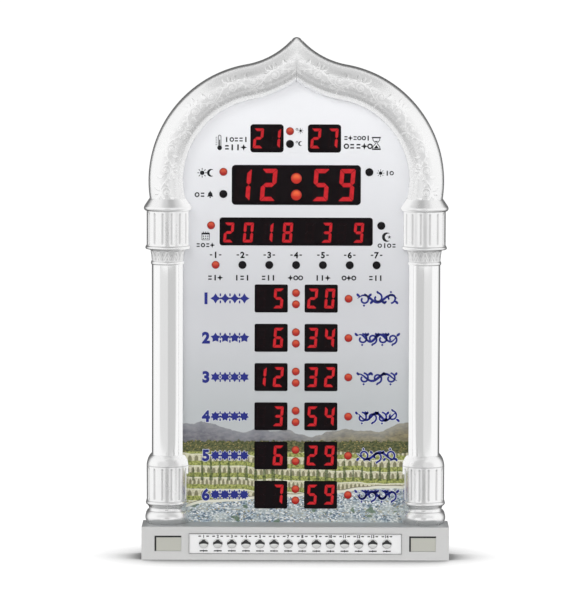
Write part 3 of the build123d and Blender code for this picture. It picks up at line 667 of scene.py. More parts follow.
def spun(bm: bmesh.types.BMesh, geometry: list, centre: Sequence[float], steps: int) -> None:
    """Turns a profile a full turn about an axis that points to the back."""
    bmesh.ops.spin(bm, geom=geometry, cent=centre, axis=(0, 1, 0), angle=TURN, steps=steps, use_merge=True)


def close_up(bm: bmesh.types.BMesh, sides: int) -> None:
    """Merges doubles and fills holes of up to a number of sides."""
    bmesh.ops.remove_doubles(bm, verts=bm.verts[:], dist=1e-6)
    bmesh.ops.holes_fill(bm, edges=bm.edges[:], sides=sides)


def mirror_left(bm: bmesh.types.BMesh) -> None:
    """Turns a right-hand piece into the left-hand one."""
    bmesh.ops.scale(bm, vec=(-1, 1, 1), verts=bm.verts[:])
    bmesh.ops.reverse_faces(bm, faces=bm.faces[:])


def on_arc(centre: Point, radius: float, angle: float) -> Point:
    """Point of an arc in the face's plane."""
    return (centre[0] + radius * math.cos(angle), centre[1] + radius * math.sin(angle))


def ring_points(centre: Point, radius: float, count: int, start: float = 0.0, sweep: float = TURN) -> list[Point]:
    """Points on a circle or arc in the face's plane.

    Args:
        centre: its centre as (x, z).
        radius: its radius.
        count: how many points.
        start: angle of the first one.
        sweep: angle covered; a full turn leaves out the repeated end.

    Returns:
        The points as (x, z).
    """
    steps = count if abs(sweep - TURN) < 1e-9 else count - 1
    return [on_arc(centre, radius, start + sweep * step / steps) for step in range(count)]


def arc_profile(first: Point, middle: Point, last: Point, count: int) -> list[Point]:
    """Points of the arc through three points.

    Args:
        first: where the arc starts.
        middle: a point on it.
        last: where it ends.
        count: how many points, the ends included.

    Returns:
        The points, from first to last.
    """
    (ax, ay), (bx, by), (cx, cy) = first, middle, last
    d = 2 * (ax * (by - cy) + bx * (cy - ay) + cx * (ay - by))
    ux = ((ax**2 + ay**2) * (by - cy) + (bx**2 + by**2) * (cy - ay) + (cx**2 + cy**2) * (ay - by)) / d
    uy = ((ax**2 + ay**2) * (cx - bx) + (bx**2 + by**2) * (ax - cx) + (cx**2 + cy**2) * (bx - ax)) / d
    start = math.atan2(ay - uy, ax - ux)
    halfway, full = (math.remainder(math.atan2(y - uy, x - ux) - start, TURN) for x, y in (middle, last))
    if full * halfway < 0:
        full += math.copysign(TURN, halfway)
    return ring_points((ux, uy), math.hypot(ax - ux, ay - uy), count, start, full)


def line_profile(first: Point, last: Point, count: int) -> list[Point]:
    """Evenly spaced points of a line, the ends included."""
    return [tuple(a + (b - a) * k / (count - 1) for a, b in zip(first, last)) for k in range(count)]


def chained(*runs: Sequence[Point]) -> list[Point]:
    """Joins runs of a profile and drops repeated points.

    Args:
        *runs: the runs, in order.

    Returns:
        The points of all of them.
    """
    points: list[Point] = []
    for run in runs:
        for point in run:
            if not points or math.dist(points[-1], point) > 1e-6:
                points.append(point)
    return points


# ---------------------------------------------------------------- relief ornament
@dataclass(frozen=True)
class Stroke:
    """A raised line of the ornament: a path in the moulding's unrolled plane, in millimetres."""

    path: np.ndarray
    width: np.ndarray
    height: float
    veined: bool = False

    def rise(self, u: np.ndarray, v: np.ndarray) -> np.ndarray:
        """Height of the stroke at points of the unrolled surface.

        Args:
            u: distance along the moulding.
            v: distance across it.

        Returns:
            The height at each point, 0 away from the stroke.
        """
        reach = float(self.width.max()) + 0.2
        near = np.ones(u.shape, bool)
        for place, run in ((u, self.path[:, 0]), (v, self.path[:, 1])):
            near &= (place > run.min() - reach) & (place < run.max() + reach)
        result = np.zeros_like(u)
        if not near.any():
            return result
        gaps = np.hypot(u[near][:, None] - self.path[:, 0], v[near][:, None] - self.path[:, 1])
        closest = gaps.argmin(axis=1)
        gap = gaps[np.arange(len(closest)), closest]
        wide = np.maximum(self.width[closest], 0.05)
        inside = np.clip(1 - (gap / wide) ** 2, 0, 1)
        lift = self.height * np.sqrt(inside)
        if self.veined:
            border = np.exp(-(((gap - wide + 0.45) / 0.42) ** 2)) + np.exp(-((gap / 0.38) ** 2))
            lift = lift * 0.25 + self.height * np.clip(border, 0, 1) * (inside > 0)
        result[near] = lift
        return result


@dataclass
class Arabesque:
    """A rinceau: a waving stem with a scroll, leaves and a rosette in each bend; lengths in millimetres."""

    length: float
    wave: float = 62.0
    amplitude: float = 8.0
    scroll_leaves: tuple[tuple[float, ...], ...] = (
        (200, 10.5, 1.3, 2.0), (150, 8.5, -1.2, 1.7), (95, 8.0, 1.1, 1.6), (40, 9.0, -1.3, 1.8), (-15, 9.5, 1.2, 1.8))

    def __post_init__(self) -> None:
        """Lays out the stem and fills its bends."""
        self.rosettes: list[Point] = []
        along = np.arange(0, self.length, 0.5)
        across = self.amplitude * np.sin(TURN * along / self.wave)
        self.strokes = [Stroke(np.stack((along, across), axis=1), np.full(len(along), 1.05), 0.75)]
        for bend in range(int(2 * self.length / self.wave) + 1):
            self.lay_bend((0.25 + bend / 2) * self.wave, 1 if bend % 2 == 0 else -1)

    def leaf(self, root: Point, heading: float, length: float, bow: float, width: float) -> None:
        """Adds one curved, veined leaf.

        Args:
            root: where it grows from.
            heading: its first direction, in radians.
            length: its length.
            bow: how much it turns along its length, in radians.
            width: half its greatest width.
        """
        share = np.linspace(0, 1, 22)
        turn = (heading + bow * share)[:-1]
        step = length / (len(share) - 1)
        x, y = (start + np.concatenate(([0], np.cumsum(run(turn) * step)))
                for start, run in zip(root, (np.cos, np.sin)))
        outline = width * np.sin(np.pi * share**0.8) + 0.12
        self.strokes.append(Stroke(np.stack((x, y), axis=1), outline, 0.8, True))

    def lay_bend(self, middle: float, side: int) -> None:
        """Fills one bend of the stem with its scroll, rosette and leaves.

        Args:
            middle: place of the bend's crest along the moulding.
            side: 1 where the stem swings outwards, -1 where it swings inwards.
        """
        centre = (middle, -side * self.amplitude * 0.12)
        share = np.linspace(0, 1, 60)
        radius = 7.6 - 4.6 * share
        angle = side * (math.radians(150) - math.radians(420) * share)
        scroll = np.stack((centre[0] + radius * np.cos(angle), centre[1] + radius * np.sin(angle)), axis=1)
        self.strokes.append(Stroke(scroll, 0.9 - 0.3 * share, 0.65))
        self.rosettes.append(centre)
        for turn, length, bow, width in self.scroll_leaves:
            a = side * math.radians(turn)
            self.leaf(on_arc(centre, 8.2, a), a + side * 0.5, length, side * bow, width)
        outer = side * self.amplitude
        outward = math.pi / 2 * side
        for way in (-1, 1):
            self.leaf((middle + way * 3.0, outer + side), outward - way * 0.9 * side, 11.0, way * 0.9, 2.1)
        self.leaf((middle, outer + side * 1.2), outward, 9.0, 0.25, 1.7)

    def rise(self, u: np.ndarray, v: np.ndarray) -> np.ndarray:
        """Height of the ornament.

        Args:
            u: distance along the moulding.
            v: distance across it.

        Returns:
            The height at each point.
        """
        total = np.zeros_like(u)
        for stroke in self.strokes:
            total = np.maximum(total, stroke.rise(u, v))
        for x, y in self.rosettes:
            radius = np.hypot(u - x, v - y)
            petals = 2.7 + 0.7 * np.cos(5 * np.arctan2(v - y, u - x))
            bloom = np.clip(1 - (radius / petals) ** 2, 0, 1) ** 0.5 * 0.85
            heart = np.exp(-((radius - 1.0) / 0.35) ** 2) * 0.35
            total = np.maximum(total, np.where(radius < petals, bloom - heart, 0))
        return total


# ---------------------------------------------------------------- mouldings
@dataclass
class OgeeArch:
    """The ogee arch: two mitred half-round mouldings with a carved rinceau."""

    silver: bpy.types.Material
    centre_y: float = 0.0145
    cover_y: float = 0.035
    half_width: float = 0.0248
    wall: float = 0.0035
    radius: float = 0.1405
    centre: Point = (0.041635, 0.5274)
    foot_z: float = 0.5030
    apex_z: float = 0.6972
    turn: float = math.radians(80)
    reverse_turn: float = math.radians(47)
    tip_radius: float = 0.008
    tip_z: float = 0.72835
    front_steps: int = 104
    main_steps: int = 300
    reverse_steps: int = 136
    relief: float = 0.00036
    ornament_top: float = 0.85

    def __post_init__(self) -> None:
        """Works out where the reversed arc lies."""
        self.junction = on_arc(self.centre, self.radius, self.turn)
        rise = self.apex_z - self.junction[1]
        chord = math.hypot(self.junction[0], rise)
        self.reverse_radius = chord / (2 * math.sin(self.turn - math.atan2(self.junction[0], rise)))
        self.reverse_centre = on_arc(self.junction, self.reverse_radius, self.turn)
        self.foot_turn = math.asin((self.centre[1] - self.foot_z) / (self.radius - self.half_width))
        self.main_length = (self.turn + self.foot_turn) * self.radius

    def section(self, bm: bmesh.types.BMesh) -> list:
        """Draws the closed cross-section at the junction of the two arcs.

        Args:
            bm: the mesh to add to.

        Returns:
            The section's corners and edges.
        """
        bore = self.half_width - self.wall
        back = self.centre_y - self.cover_y
        seat = self.centre_y - FACE_Y
        outline = [(self.half_width, back * (1 - step / 8)) for step in range(8)]
        outline += ring_points((0, 0), self.half_width, self.front_steps + 1, 0, math.pi)
        outline += [(-self.half_width, seat), (-bore, seat)]
        outline += ring_points((0, 0), bore, 17, math.pi, -math.pi)
        outline += [(bore, back)]
        (dx, dz), (x, z) = on_arc((0, 0), 1.0, self.turn), self.junction
        corners, edges = chain(bm, [(x + dx * a, self.centre_y - b, z + dz * a) for a, b in outline])
        return corners + edges + [bm.edges.new((corners[-1], corners[0]))]

    def side(self, mirrored: bool) -> bmesh.types.BMesh:
        """Turns the section along both arcs and cuts it at the mitre, the foot and the tip.

        Args:
            mirrored: True gives the left-hand moulding.

        Returns:
            The carved moulding.
        """
        bm = bmesh.new()
        section = self.section(bm)
        for (x, z), angle, steps in ((self.centre, self.turn + self.foot_turn, self.main_steps),
                                     (self.reverse_centre, self.reverse_turn, self.reverse_steps)):
            bmesh.ops.spin(bm, geom=section, cent=(x, self.centre_y, z), axis=(0, 1, 0), angle=angle, steps=steps,
                           use_merge=False)
        for place, normal in (((0, 0, 0), (-1, 0, 0)), ((0, 0, self.foot_z), (0, 0, -1))):
            cut = bmesh.ops.bisect_plane(bm, geom=bm.verts[:] + bm.edges[:] + bm.faces[:], dist=1e-7, plane_co=place,
                                         plane_no=normal, clear_outer=True)
            bmesh.ops.edgeloop_fill(bm, edges=picked(cut["geom_cut"], bmesh.types.BMEdge))
        bmesh.ops.remove_doubles(bm, verts=bm.verts[:], dist=1e-6)
        bmesh.ops.recalc_face_normals(bm, faces=bm.faces[:])
        self.carve(bm)
        if mirrored:
            mirror_left(bm)
        return bm

    def unrolled(self, place: np.ndarray) -> tuple[np.ndarray, np.ndarray, np.ndarray, np.ndarray]:
        """Place of each point along and across the moulding.

        Args:
            place: points as rows of x, y and z.

        Returns:
            Distance along from the foot, distance across, distance from the centre line, and the outward direction
            across the moulding as rows of x and z.
        """
        main = place[:, [0, 2]] - np.array(self.centre)
        angle = np.arctan2(main[:, 1], main[:, 0])
        radius = np.hypot(main[:, 0], main[:, 1])
        back = np.array(self.reverse_centre) - place[:, [0, 2]]
        back_angle = np.arctan2(back[:, 1], back[:, 0])
        back_radius = np.hypot(back[:, 0], back[:, 1])
        on_main = angle < self.turn
        along = np.where(on_main, (angle + self.foot_turn) * self.radius,
                         self.main_length + (self.turn - back_angle) * self.reverse_radius)
        out = np.where(on_main, radius - self.radius, self.reverse_radius - back_radius)
        direction = np.where(on_main[:, None], main / radius[:, None], back / back_radius[:, None])
        front = self.centre_y - place[:, 1]
        ahead = np.maximum(front, 0)
        across = np.arctan2(out, ahead) * self.half_width + np.where(front < 0, -front * np.sign(out), 0)
        return along, across, np.hypot(out, ahead), direction

    def carve(self, bm: bmesh.types.BMesh) -> None:
        """Raises the rinceau out of the moulding's face, paints shade on its ground and rounds the tip.

        Args:
            bm: the moulding, changed in place.
        """
        margin = bm.verts.layers.float.new("margin")
        recess = bm.verts.layers.float.new("recess")
        corners = bm.verts[:]
        place = np.array([v.co for v in corners])
        along, across, reach, out = self.unrolled(place)
        along, across = along / MM, across / MM
        side = np.abs(across)
        rise = Arabesque((self.main_length + 0.105) / MM).rise(along, across) / self.ornament_top
        skin = (np.abs(reach - self.half_width) < 2e-4) & (place[:, 1] < FACE_Y + 1e-4)
        ends = np.clip((along - 2.5) / 4, 0, 1) * np.clip((place[:, 0] / MM - 0.4) / 5, 0, 1)
        amount = np.clip(rise, 0, 1) * (1 - np.clip((side - 25.0) / 2.5, 0, 1)) * ends
        beading = np.clip((side - 24.0) / 1.5, 0, 1) * np.clip((34 - side) / 2, 0, 1) * ends * 0.35
        reach = np.maximum(reach, 1e-6)
        facing = np.maximum(self.centre_y - place[:, 1], 0) / reach
        slant = np.sqrt(np.maximum(1 - facing**2, 0)) * np.sign(across)
        push = np.stack((out[:, 0] * slant, -facing, out[:, 1] * slant), axis=1)
        push *= ((amount + beading - 1.0) * self.relief)[:, None]
        # Painted shade on the ground between the strokes, lighter towards the outer side, carried in the hollow
        # attribute.
        outer = np.clip((across - 3.0) / 7.0, 0, 1)
        ground_shade = (1 - np.minimum(1.0, amount * 1.5)) * (0.46 - 0.36 * outer)
        punched = np.clip((side - 8.0) / 8, 0.45, 1)
        for index, corner in enumerate(corners):
            if skin[index]:
                corner.co += Vector(push[index])
                corner[recess] = float(ground_shade[index])
                corner[margin] = float(punched[index])
            self.round_tip(corner)

    def round_tip(self, corner: bmesh.types.BMVert) -> None:
        """Brings a point of the sharp apex down onto the round tip.

        Args:
            corner: the point, moved where it stands.
        """
        base = self.tip_z - self.tip_radius
        if corner.co.z > base and abs(corner.co.x) < self.tip_radius:
            corner.co.z = min(corner.co.z, base + math.sqrt(self.tip_radius**2 - corner.co.x**2))

    def build(self) -> None:
        """Makes both mouldings."""
        for name, mirrored in (("arch_moulding_right", False), ("arch_moulding_left", True)):
            finish_mesh(self.side(mirrored), name, self.silver, HOUSING, 50.0, ["arch_moulding"])
        LOG.info("ogee arch carved")


@dataclass
class TurnedPiece:
    """A half-round turned piece of a column, with straight flanks back to the rear cover."""

    axis_x: float = 0.180
    centre_y: float = 0.0145
    seat_y: float = 0.0184
    cover_y: float = 0.035
    inner_x: float = 0.1665
    steps: int = 176

    def shell(self, profile: Sequence[Point]) -> bmesh.types.BMesh:
        """Turns a profile round the front and closes it at the back.

        Args:
            profile: (radius, z) from the foot to the top.

        Returns:
            The closed, plain piece on the clock's right side.
        """
        bm = bmesh.new()
        start, edges = chain(bm, [(self.axis_x - radius, self.centre_y, z) for radius, z in profile])
        turned = bmesh.ops.spin(bm, geom=start + edges, cent=(self.axis_x, self.centre_y, 0), axis=(0, 0, 1),
                                angle=math.pi, steps=self.steps, use_merge=False)
        outer = self.drawn(bm, picked(turned["geom_last"], bmesh.types.BMEdge), 1, self.cover_y)
        inner = self.drawn(bm, edges, 1, self.seat_y)
        step = self.drawn(bm, inner, 0, self.inner_x)
        bmesh.ops.bridge_loops(bm, edges=outer + self.drawn(bm, step, 1, self.cover_y))
        rims = [edge for edge in bm.edges if len(edge.link_faces) == 1]
        for level in (profile[0][1], profile[-1][1]):
            bmesh.ops.edgeloop_fill(bm, edges=[e for e in rims if all(abs(v.co.z - level) < 1e-7 for v in e.verts)])
        bmesh.ops.recalc_face_normals(bm, faces=bm.faces[:])
        return bm

    @staticmethod
    def drawn(bm: bmesh.types.BMesh, edges: list[bmesh.types.BMEdge], axis: int,
              place: float) -> list[bmesh.types.BMEdge]:
        """Extrudes a chain of edges and moves its far side along one axis.

        Args:
            bm: the mesh.
            edges: the chain.
            axis: 0 for x, 1 for y.
            place: where the far side goes.

        Returns:
            The far side's edges.
        """
        made = bmesh.ops.extrude_edge_only(bm, edges=edges)["geom"]
        for corner in picked(made, bmesh.types.BMVert):
            corner.co[axis] = place
        return picked(made, bmesh.types.BMEdge)

    def polar(self, corner: bmesh.types.BMVert) -> tuple[float, float]:
        """Angle from straight ahead and radius of a corner about the column's axis."""
        dx, dy = corner.co.x - self.axis_x, self.centre_y - corner.co.y
        return math.atan2(dx, dy), math.hypot(dx, dy)


@dataclass
class Column:
    """A column of one side: foot, plain shaft and capital. A pair of lengths is a radius and a height."""

    carved: bpy.types.Material
    polished: bpy.types.Material
    turning: TurnedPiece = field(default_factory=TurnedPiece)
    plinth_z: float = 0.0465
    torus: Point = (0.031, 0.017)
    neck: Point = (0.0259, 0.0092)
    foot_ring: Point = (0.0304, 0.005)
    drum: Point = (0.0293, 0.0497)
    flare: Point = (0.0228, 0.0155)
    shaft: Point = (0.022, 0.2676)
    neck_ring: Point = (0.0234, 0.0048)
    bell: tuple[float, float, float] = (0.0223, 0.0252, 0.017)
    capital_ring: Point = (0.0312, 0.0044)
    collar: tuple[float, float, float] = (0.0332, 0.0166, 0.0064)
    collar_top: float = 0.0253
    flute_radius: float = 0.0022
    flute_depth: float = 0.0011
    flute_margin: float = 0.0026
    flute_step: float = math.radians(25)
    flutes: int = 6
    drum_rows: int = 44
    leaf_span: float = math.radians(33)
    leaf_depth: float = 0.0010

    def __post_init__(self) -> None:
        """Adds up the levels of the column."""
        self.torus_top = self.plinth_z + self.torus[1]
        self.neck_top = self.torus_top + self.neck[1]
        self.foot_ring_top = self.neck_top + self.foot_ring[1]
        self.foot_drum_top = self.foot_ring_top + self.drum[1]
        self.shaft_foot = self.foot_drum_top + self.flare[1]
        self.shaft_top = self.shaft_foot + self.shaft[1]
        self.bell_foot = self.shaft_top + self.neck_ring[1]
        self.bell_top = self.bell_foot + self.bell[2]
        self.drum_foot = self.bell_top + self.capital_ring[1]
        self.drum_top = self.drum_foot + self.drum[1]
        self.arch_foot = self.drum_top + self.collar[1]
        self.joints = (self.torus_top, self.neck_top, self.foot_ring_top, self.foot_drum_top, self.bell_foot,
                       self.bell_top, self.drum_foot, self.drum_top)

    def foot_profile(self) -> list[Point]:
        """Profile of the foot, from the plinth up.

        Returns:
            Its points as (radius, z).
        """
        edge, drum = self.torus[0] - self.torus[1] / 5, self.drum[0]
        waist = (self.neck[0], self.torus_top + self.neck[1] / 2)
        ring = (self.foot_ring[0], self.neck_top + self.foot_ring[1] / 2)
        inset = drum - self.flare[0]
        bow = (inset**2 + self.flare[1]**2) / (2 * inset)
        half = math.asin(self.flare[1] / bow) / 2
        bulge = (drum - bow * (1 - math.cos(half)), self.foot_drum_top + bow * math.sin(half))
        return chained(
            arc_profile((edge, self.plinth_z), (self.torus[0], self.plinth_z + self.torus[1] / 2),
                        (edge, self.torus_top), 20),
            arc_profile((edge - MM, self.torus_top), waist, (drum, self.neck_top), 12),
            arc_profile((drum, self.neck_top), ring, (drum, self.foot_ring_top), 10),
            line_profile((drum - 0.0002, self.foot_ring_top), (drum, self.foot_drum_top), self.drum_rows),
            arc_profile((drum, self.foot_drum_top), bulge, (self.flare[0], self.shaft_foot), 14),
        )

    def capital_profile(self) -> list[Point]:
        """Profile of the capital, from the shaft up.

        Returns:
            Its points as (radius, z).
        """
        low, high, _ = self.bell
        drum, wide = self.drum[0], self.collar[0]
        waist = ((3 * low + high) / 4, (self.bell_foot + self.bell_top) / 2)
        ring = (self.capital_ring[0], (self.bell_top + self.drum_foot) / 2)
        lip_top = self.drum_top + self.collar[2]
        return chained(
            arc_profile((self.neck_ring[0] - MM, self.shaft_top),
                        (self.neck_ring[0], self.shaft_top + self.neck_ring[1] / 2), (low, self.bell_foot), 10),
            arc_profile((low, self.bell_foot), waist, (high, self.bell_top), 30),
            arc_profile((drum, self.bell_top), ring, (drum, self.drum_foot), 10),
            line_profile((drum, self.drum_foot), (drum, self.drum_top), self.drum_rows),
            arc_profile(((drum + wide) / 2, self.drum_top), (wide, self.drum_top + self.collar[2] / 2),
                        (wide - MM, lip_top), 10),
            line_profile((wide - MM, lip_top), (self.collar_top, self.arch_foot), 8),
        )

    def flute(self, bm: bmesh.types.BMesh, drum_foot: float) -> None:
        """Presses the round-ended flutes into a drum, and paints shade into them and along the joints between the
        turned parts.

        Args:
            bm: the piece, changed in place.
            drum_foot: z of the drum's lower end.
        """
        recess = bm.verts.layers.float.new("recess")
        drum_top = drum_foot + self.drum[1]
        inset = self.flute_margin + self.flute_radius
        for corner in bm.verts:
            z = corner.co.z
            # Painted shade: a dark line along each joint of the profile.
            if min(abs(z - level) for level in self.joints) < 0.0003:
                corner[recess] = 1.0
            angle, radius = self.turning.polar(corner)
            slot = round(angle / self.flute_step - 0.5) + 0.5
            if not drum_foot < z < drum_top or abs(radius - self.drum[0]) > 0.0005 or abs(slot) > self.flutes / 2:
                continue
            above = z - min(max(z, drum_foot + inset), drum_top - inset)
            gap = math.hypot((angle - slot * self.flute_step) * radius, above)
            if gap >= self.flute_radius:
                continue
            depth = math.sqrt(self.flute_radius**2 - gap**2) - (self.flute_radius - self.flute_depth)
            if depth > 0:
                corner.co.x -= math.sin(angle) * depth
                corner.co.y += math.cos(angle) * depth
                # Painted shade in the flute, deeper where the flute is deeper.
                corner[recess] = min(1.0, 0.75 * depth / self.flute_depth)

    def leaves(self, bm: bmesh.types.BMesh) -> None:
        """Carves a row of overlapping leaves into the capital's bell, and paints shade where the carving sinks.

        Args:
            bm: the capital, changed in place.
        """
        recess = bm.verts.layers.float["recess"]
        low, high = self.bell_foot, self.bell_top
        for corner in bm.verts:
            if not low + 1e-5 < corner.co.z < high - 1e-5 or corner.co.y > self.turning.seat_y:
                continue
            angle, _ = self.turning.polar(corner)
            share = (corner.co.z - low) / (high - low)
            lift = 0.0
            for shifted, top, weight in ((0.5, 1.0, 0.55), (0.0, 0.86, 1.0)):
                near = math.remainder(angle / self.leaf_span - shifted, 1.0)
                wide = 0.52 * math.sqrt(max(0.0, 1 - (share / top) ** 2.2)) if share < top else 0.0
                if abs(near) < wide:
                    body = math.sqrt(max(0.0, 1 - (near / wide) ** 2))
                    vein = math.exp(-((near / 0.035) ** 2)) * 0.5
                    ribs = 0.30 * math.cos((abs(near) * 8 + share * 5) * math.pi)
                    lift = max(lift, weight * (body - vein + ribs * body))
            lift = min(lift, 1.0)
            fade = min(1.0, share / 0.08, (1 - share) / 0.06)
            push = (lift - 1.0) * self.leaf_depth * fade
            corner.co.x += math.sin(angle) * push
            corner.co.y -= math.cos(angle) * push
            # Painted shade, darker where the leaf surface sinks.
            corner[recess] = fade * min(1.0, 0.1 + 1.1 * (1 - lift))

    def build(self, side: str) -> None:
        """Makes the three pieces of one column.

        Args:
            side: left or right.
        """
        shaft_line = line_profile((self.shaft[0], self.shaft_foot), (self.shaft[0], self.shaft_top), 3)
        foot, capital, shaft = (self.turning.shell(line)
                                for line in (self.foot_profile(), self.capital_profile(), shaft_line))
        self.flute(foot, self.foot_ring_top)
        self.flute(capital, self.drum_foot)
        self.leaves(capital)
        for name, bm, material, slot in (
            (f"column_foot_{side}", foot, self.carved, "engraved_silver"),
            (f"capital_{side}", capital, self.carved, "engraved_silver"),
            (f"column_shaft_{side}", shaft, self.polished, "polished_silver"),
        ):
            if side == "left":
                mirror_left(bm)
            finish_mesh(bm, f"turned_{name}", material, HOUSING, 32.0, [name])
        LOG.info("%s column turned", side)


# ---------------------------------------------------------------- displays and lamps
SEGMENTS = {
    " ": "", "0": "abcdef", "1": "bc", "2": "abged", "3": "abgcd", "4": "fgbc", "5": "afgcd", "6": "afgedc",
    "7": "abc", "8": "abcdefg", "9": "abcdfg",
}


@dataclass(frozen=True)
class DigitStyle:
    """Size of one seven-segment digit."""

    height: float
    width: float
    stroke: float
    gap: float = 0.00035
    lean: float = math.tan(math.radians(4.5))

    def segment(self, name: str, centre: Point) -> list[Point]:
        """Outline of one segment.

        Args:
            name: a to g, clockwise from the top, with g in the middle.
            centre: the digit's centre as (x, z).

        Returns:
            Its corners as (x, z), leaning.
        """
        w, h, s, g = self.width / 2, self.height / 2, self.stroke, self.gap
        mid = s / 2
        cut = s * 0.3
        top = [(-w + g + cut, h), (w - g - cut, h), (w - g - cut * 0.45, h - cut * 0.4), (w - s - g, h - s),
               (-w + s + g, h - s), (-w + g + cut * 0.45, h - cut * 0.4)]
        upper = [(w - cut * 0.4, h - g - cut * 0.45), (w - s, h - s - g), (w - s, mid + g), (w - mid, g),
                 (w, mid * 0.9 + g), (w, h - g - cut)]
        middle = [(-w + mid + g, 0), (-w + s + g, mid), (w - s - g, mid), (w - mid - g, 0),
                  (w - s - g, -mid), (-w + s + g, -mid)]
        outline, flip_x, flip_z = {
            "a": (top, 1, 1), "b": (upper, 1, 1), "c": (upper, 1, -1), "d": (top, 1, -1), "e": (upper, -1, -1),
            "f": (upper, -1, 1), "g": (middle, 1, 1),
        }[name]
        return [(centre[0] + x * flip_x + z * flip_z * self.lean, centre[1] + z * flip_z) for x, z in outline]

    def widened(self, extra: float) -> "DigitStyle":
        """The style with every stroke grown by extra on all sides."""
        return DigitStyle(self.height + 2 * extra, self.width + 2 * extra, self.stroke + 2 * extra, 0.0)


@dataclass(frozen=True)
class Readout:
    """What one display module shows."""

    node: str
    cells: tuple[float, ...]
    text: str
    style: DigitStyle
    drop: float = 0.0

    def centre(self) -> Point:
        """Centre of the module's face as (x, z)."""
        low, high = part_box(self.node)
        return ((low.x + high.x) / 2, (low.z + high.z) / 2 - self.drop)


@dataclass
class Displays:
    """The seven-segment modules: black faces, dark segments and lit segments with a faint halo."""

    lit: bpy.types.Material
    halo: bpy.types.Material
    dark: bpy.types.Material
    face: bpy.types.Material
    face_y: float = 0.0205
    track: float = 0.0006
    glow_width: float = 0.00045
    small: DigitStyle = DigitStyle(0.0278, 0.0134, 0.0037)
    large: DigitStyle = DigitStyle(0.0450, 0.0214, 0.0058)

    def readouts(self) -> list[Readout]:
        """Every module with its digit places and figures.

        Returns:
            The readouts.
        """
        pair = (-0.012, 0.012)
        hours = (-0.0138, 0.0102)
        dates = (-0.09445, -0.06695, -0.03945, -0.01195, 0.0190, 0.0430, 0.0635, 0.0875)
        found = [
            Readout("temperature_digits", pair, "21", self.small),
            Readout("countdown_digits", pair, "27", self.small),
            Readout("time_digits", (-0.0747, -0.0387, 0.0347, 0.0707), "1259", self.large),
            Readout("date_digits", dates, "2018 3 9", self.small, 0.0015),
        ]
        for row, figures in enumerate((" 520", " 634", "1232", " 354", " 629", " 759"), 1):
            found.append(Readout(f"row_{row}_hour_digits", hours, figures[:2], self.small))
            found.append(Readout(f"row_{row}_minute_digits", pair, figures[2:], self.small))
        return found

    def build(self) -> None:
        """Dresses every module and sets its segments into the tracks."""
        for readout in self.readouts():
            dress(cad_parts[readout.node], self.face)
            lit, dark, halo = bmesh.new(), bmesh.new(), bmesh.new()
            x, z = readout.centre()
            style = readout.style
            wide = style.widened(self.glow_width)
            for cell, figure in zip(readout.cells, readout.text):
                centre = (x + cell, z)
                for order, name in enumerate("abcdefg"):
                    if name in SEGMENTS[figure]:
                        polygon(lit, style.segment(name, centre), self.face_y - 0.00012, self.track)
                        front = self.face_y - 0.00004 - 0.00001 * order
                        polygon(halo, wide.segment(name, centre), front, 0.0002)
                    else:
                        polygon(dark, style.segment(name, centre), self.face_y + 0.00008, self.track - 0.00012)
            for bm, name, material in ((lit, "lit", self.lit), (halo, "halo", self.halo), (dark, "dark", self.dark)):
                finish_mesh(bm, f"{readout.node}_{name}_segments", material, HOUSING)
        LOG.info("%d display modules lit", len(self.readouts()))


class LampState(Enum):
    """How a lamp shows."""

    RED = "lamp_red"
    ORANGE = "lamp_orange"
    OFF = "lamp_off"


@dataclass(frozen=True)
class LampShape:
    """Size of a domed lamp and the y of the face it sits on."""

    radius: float = 0.0056
    height: float = 0.003
    seat: float = FACE_Y
    rim: float = 0.0008
    steps: int = 40

    def dome(self, bm: bmesh.types.BMesh, centre: Point) -> None:
        """Turns one lamp.

        Args:
            bm: the mesh to add to.
            centre: its centre as (x, z).
        """
        crown = self.height - self.rim
        ball = (self.radius**2 + crown**2) / (2 * crown)
        reach = math.asin(self.radius / ball)
        angles = [reach * (1 - k / 10) for k in range(11)]
        profile = [(self.radius, 0.0), (self.radius, self.rim * 0.8)]
        profile += [(ball * math.sin(a), self.height - ball * (1 - math.cos(a))) for a in angles]
        x, z = centre
        corners, edges = chain(bm, [(x + r, self.seat - depth, z) for r, depth in profile])
        spun(bm, corners + edges, (x, self.seat, z), self.steps)


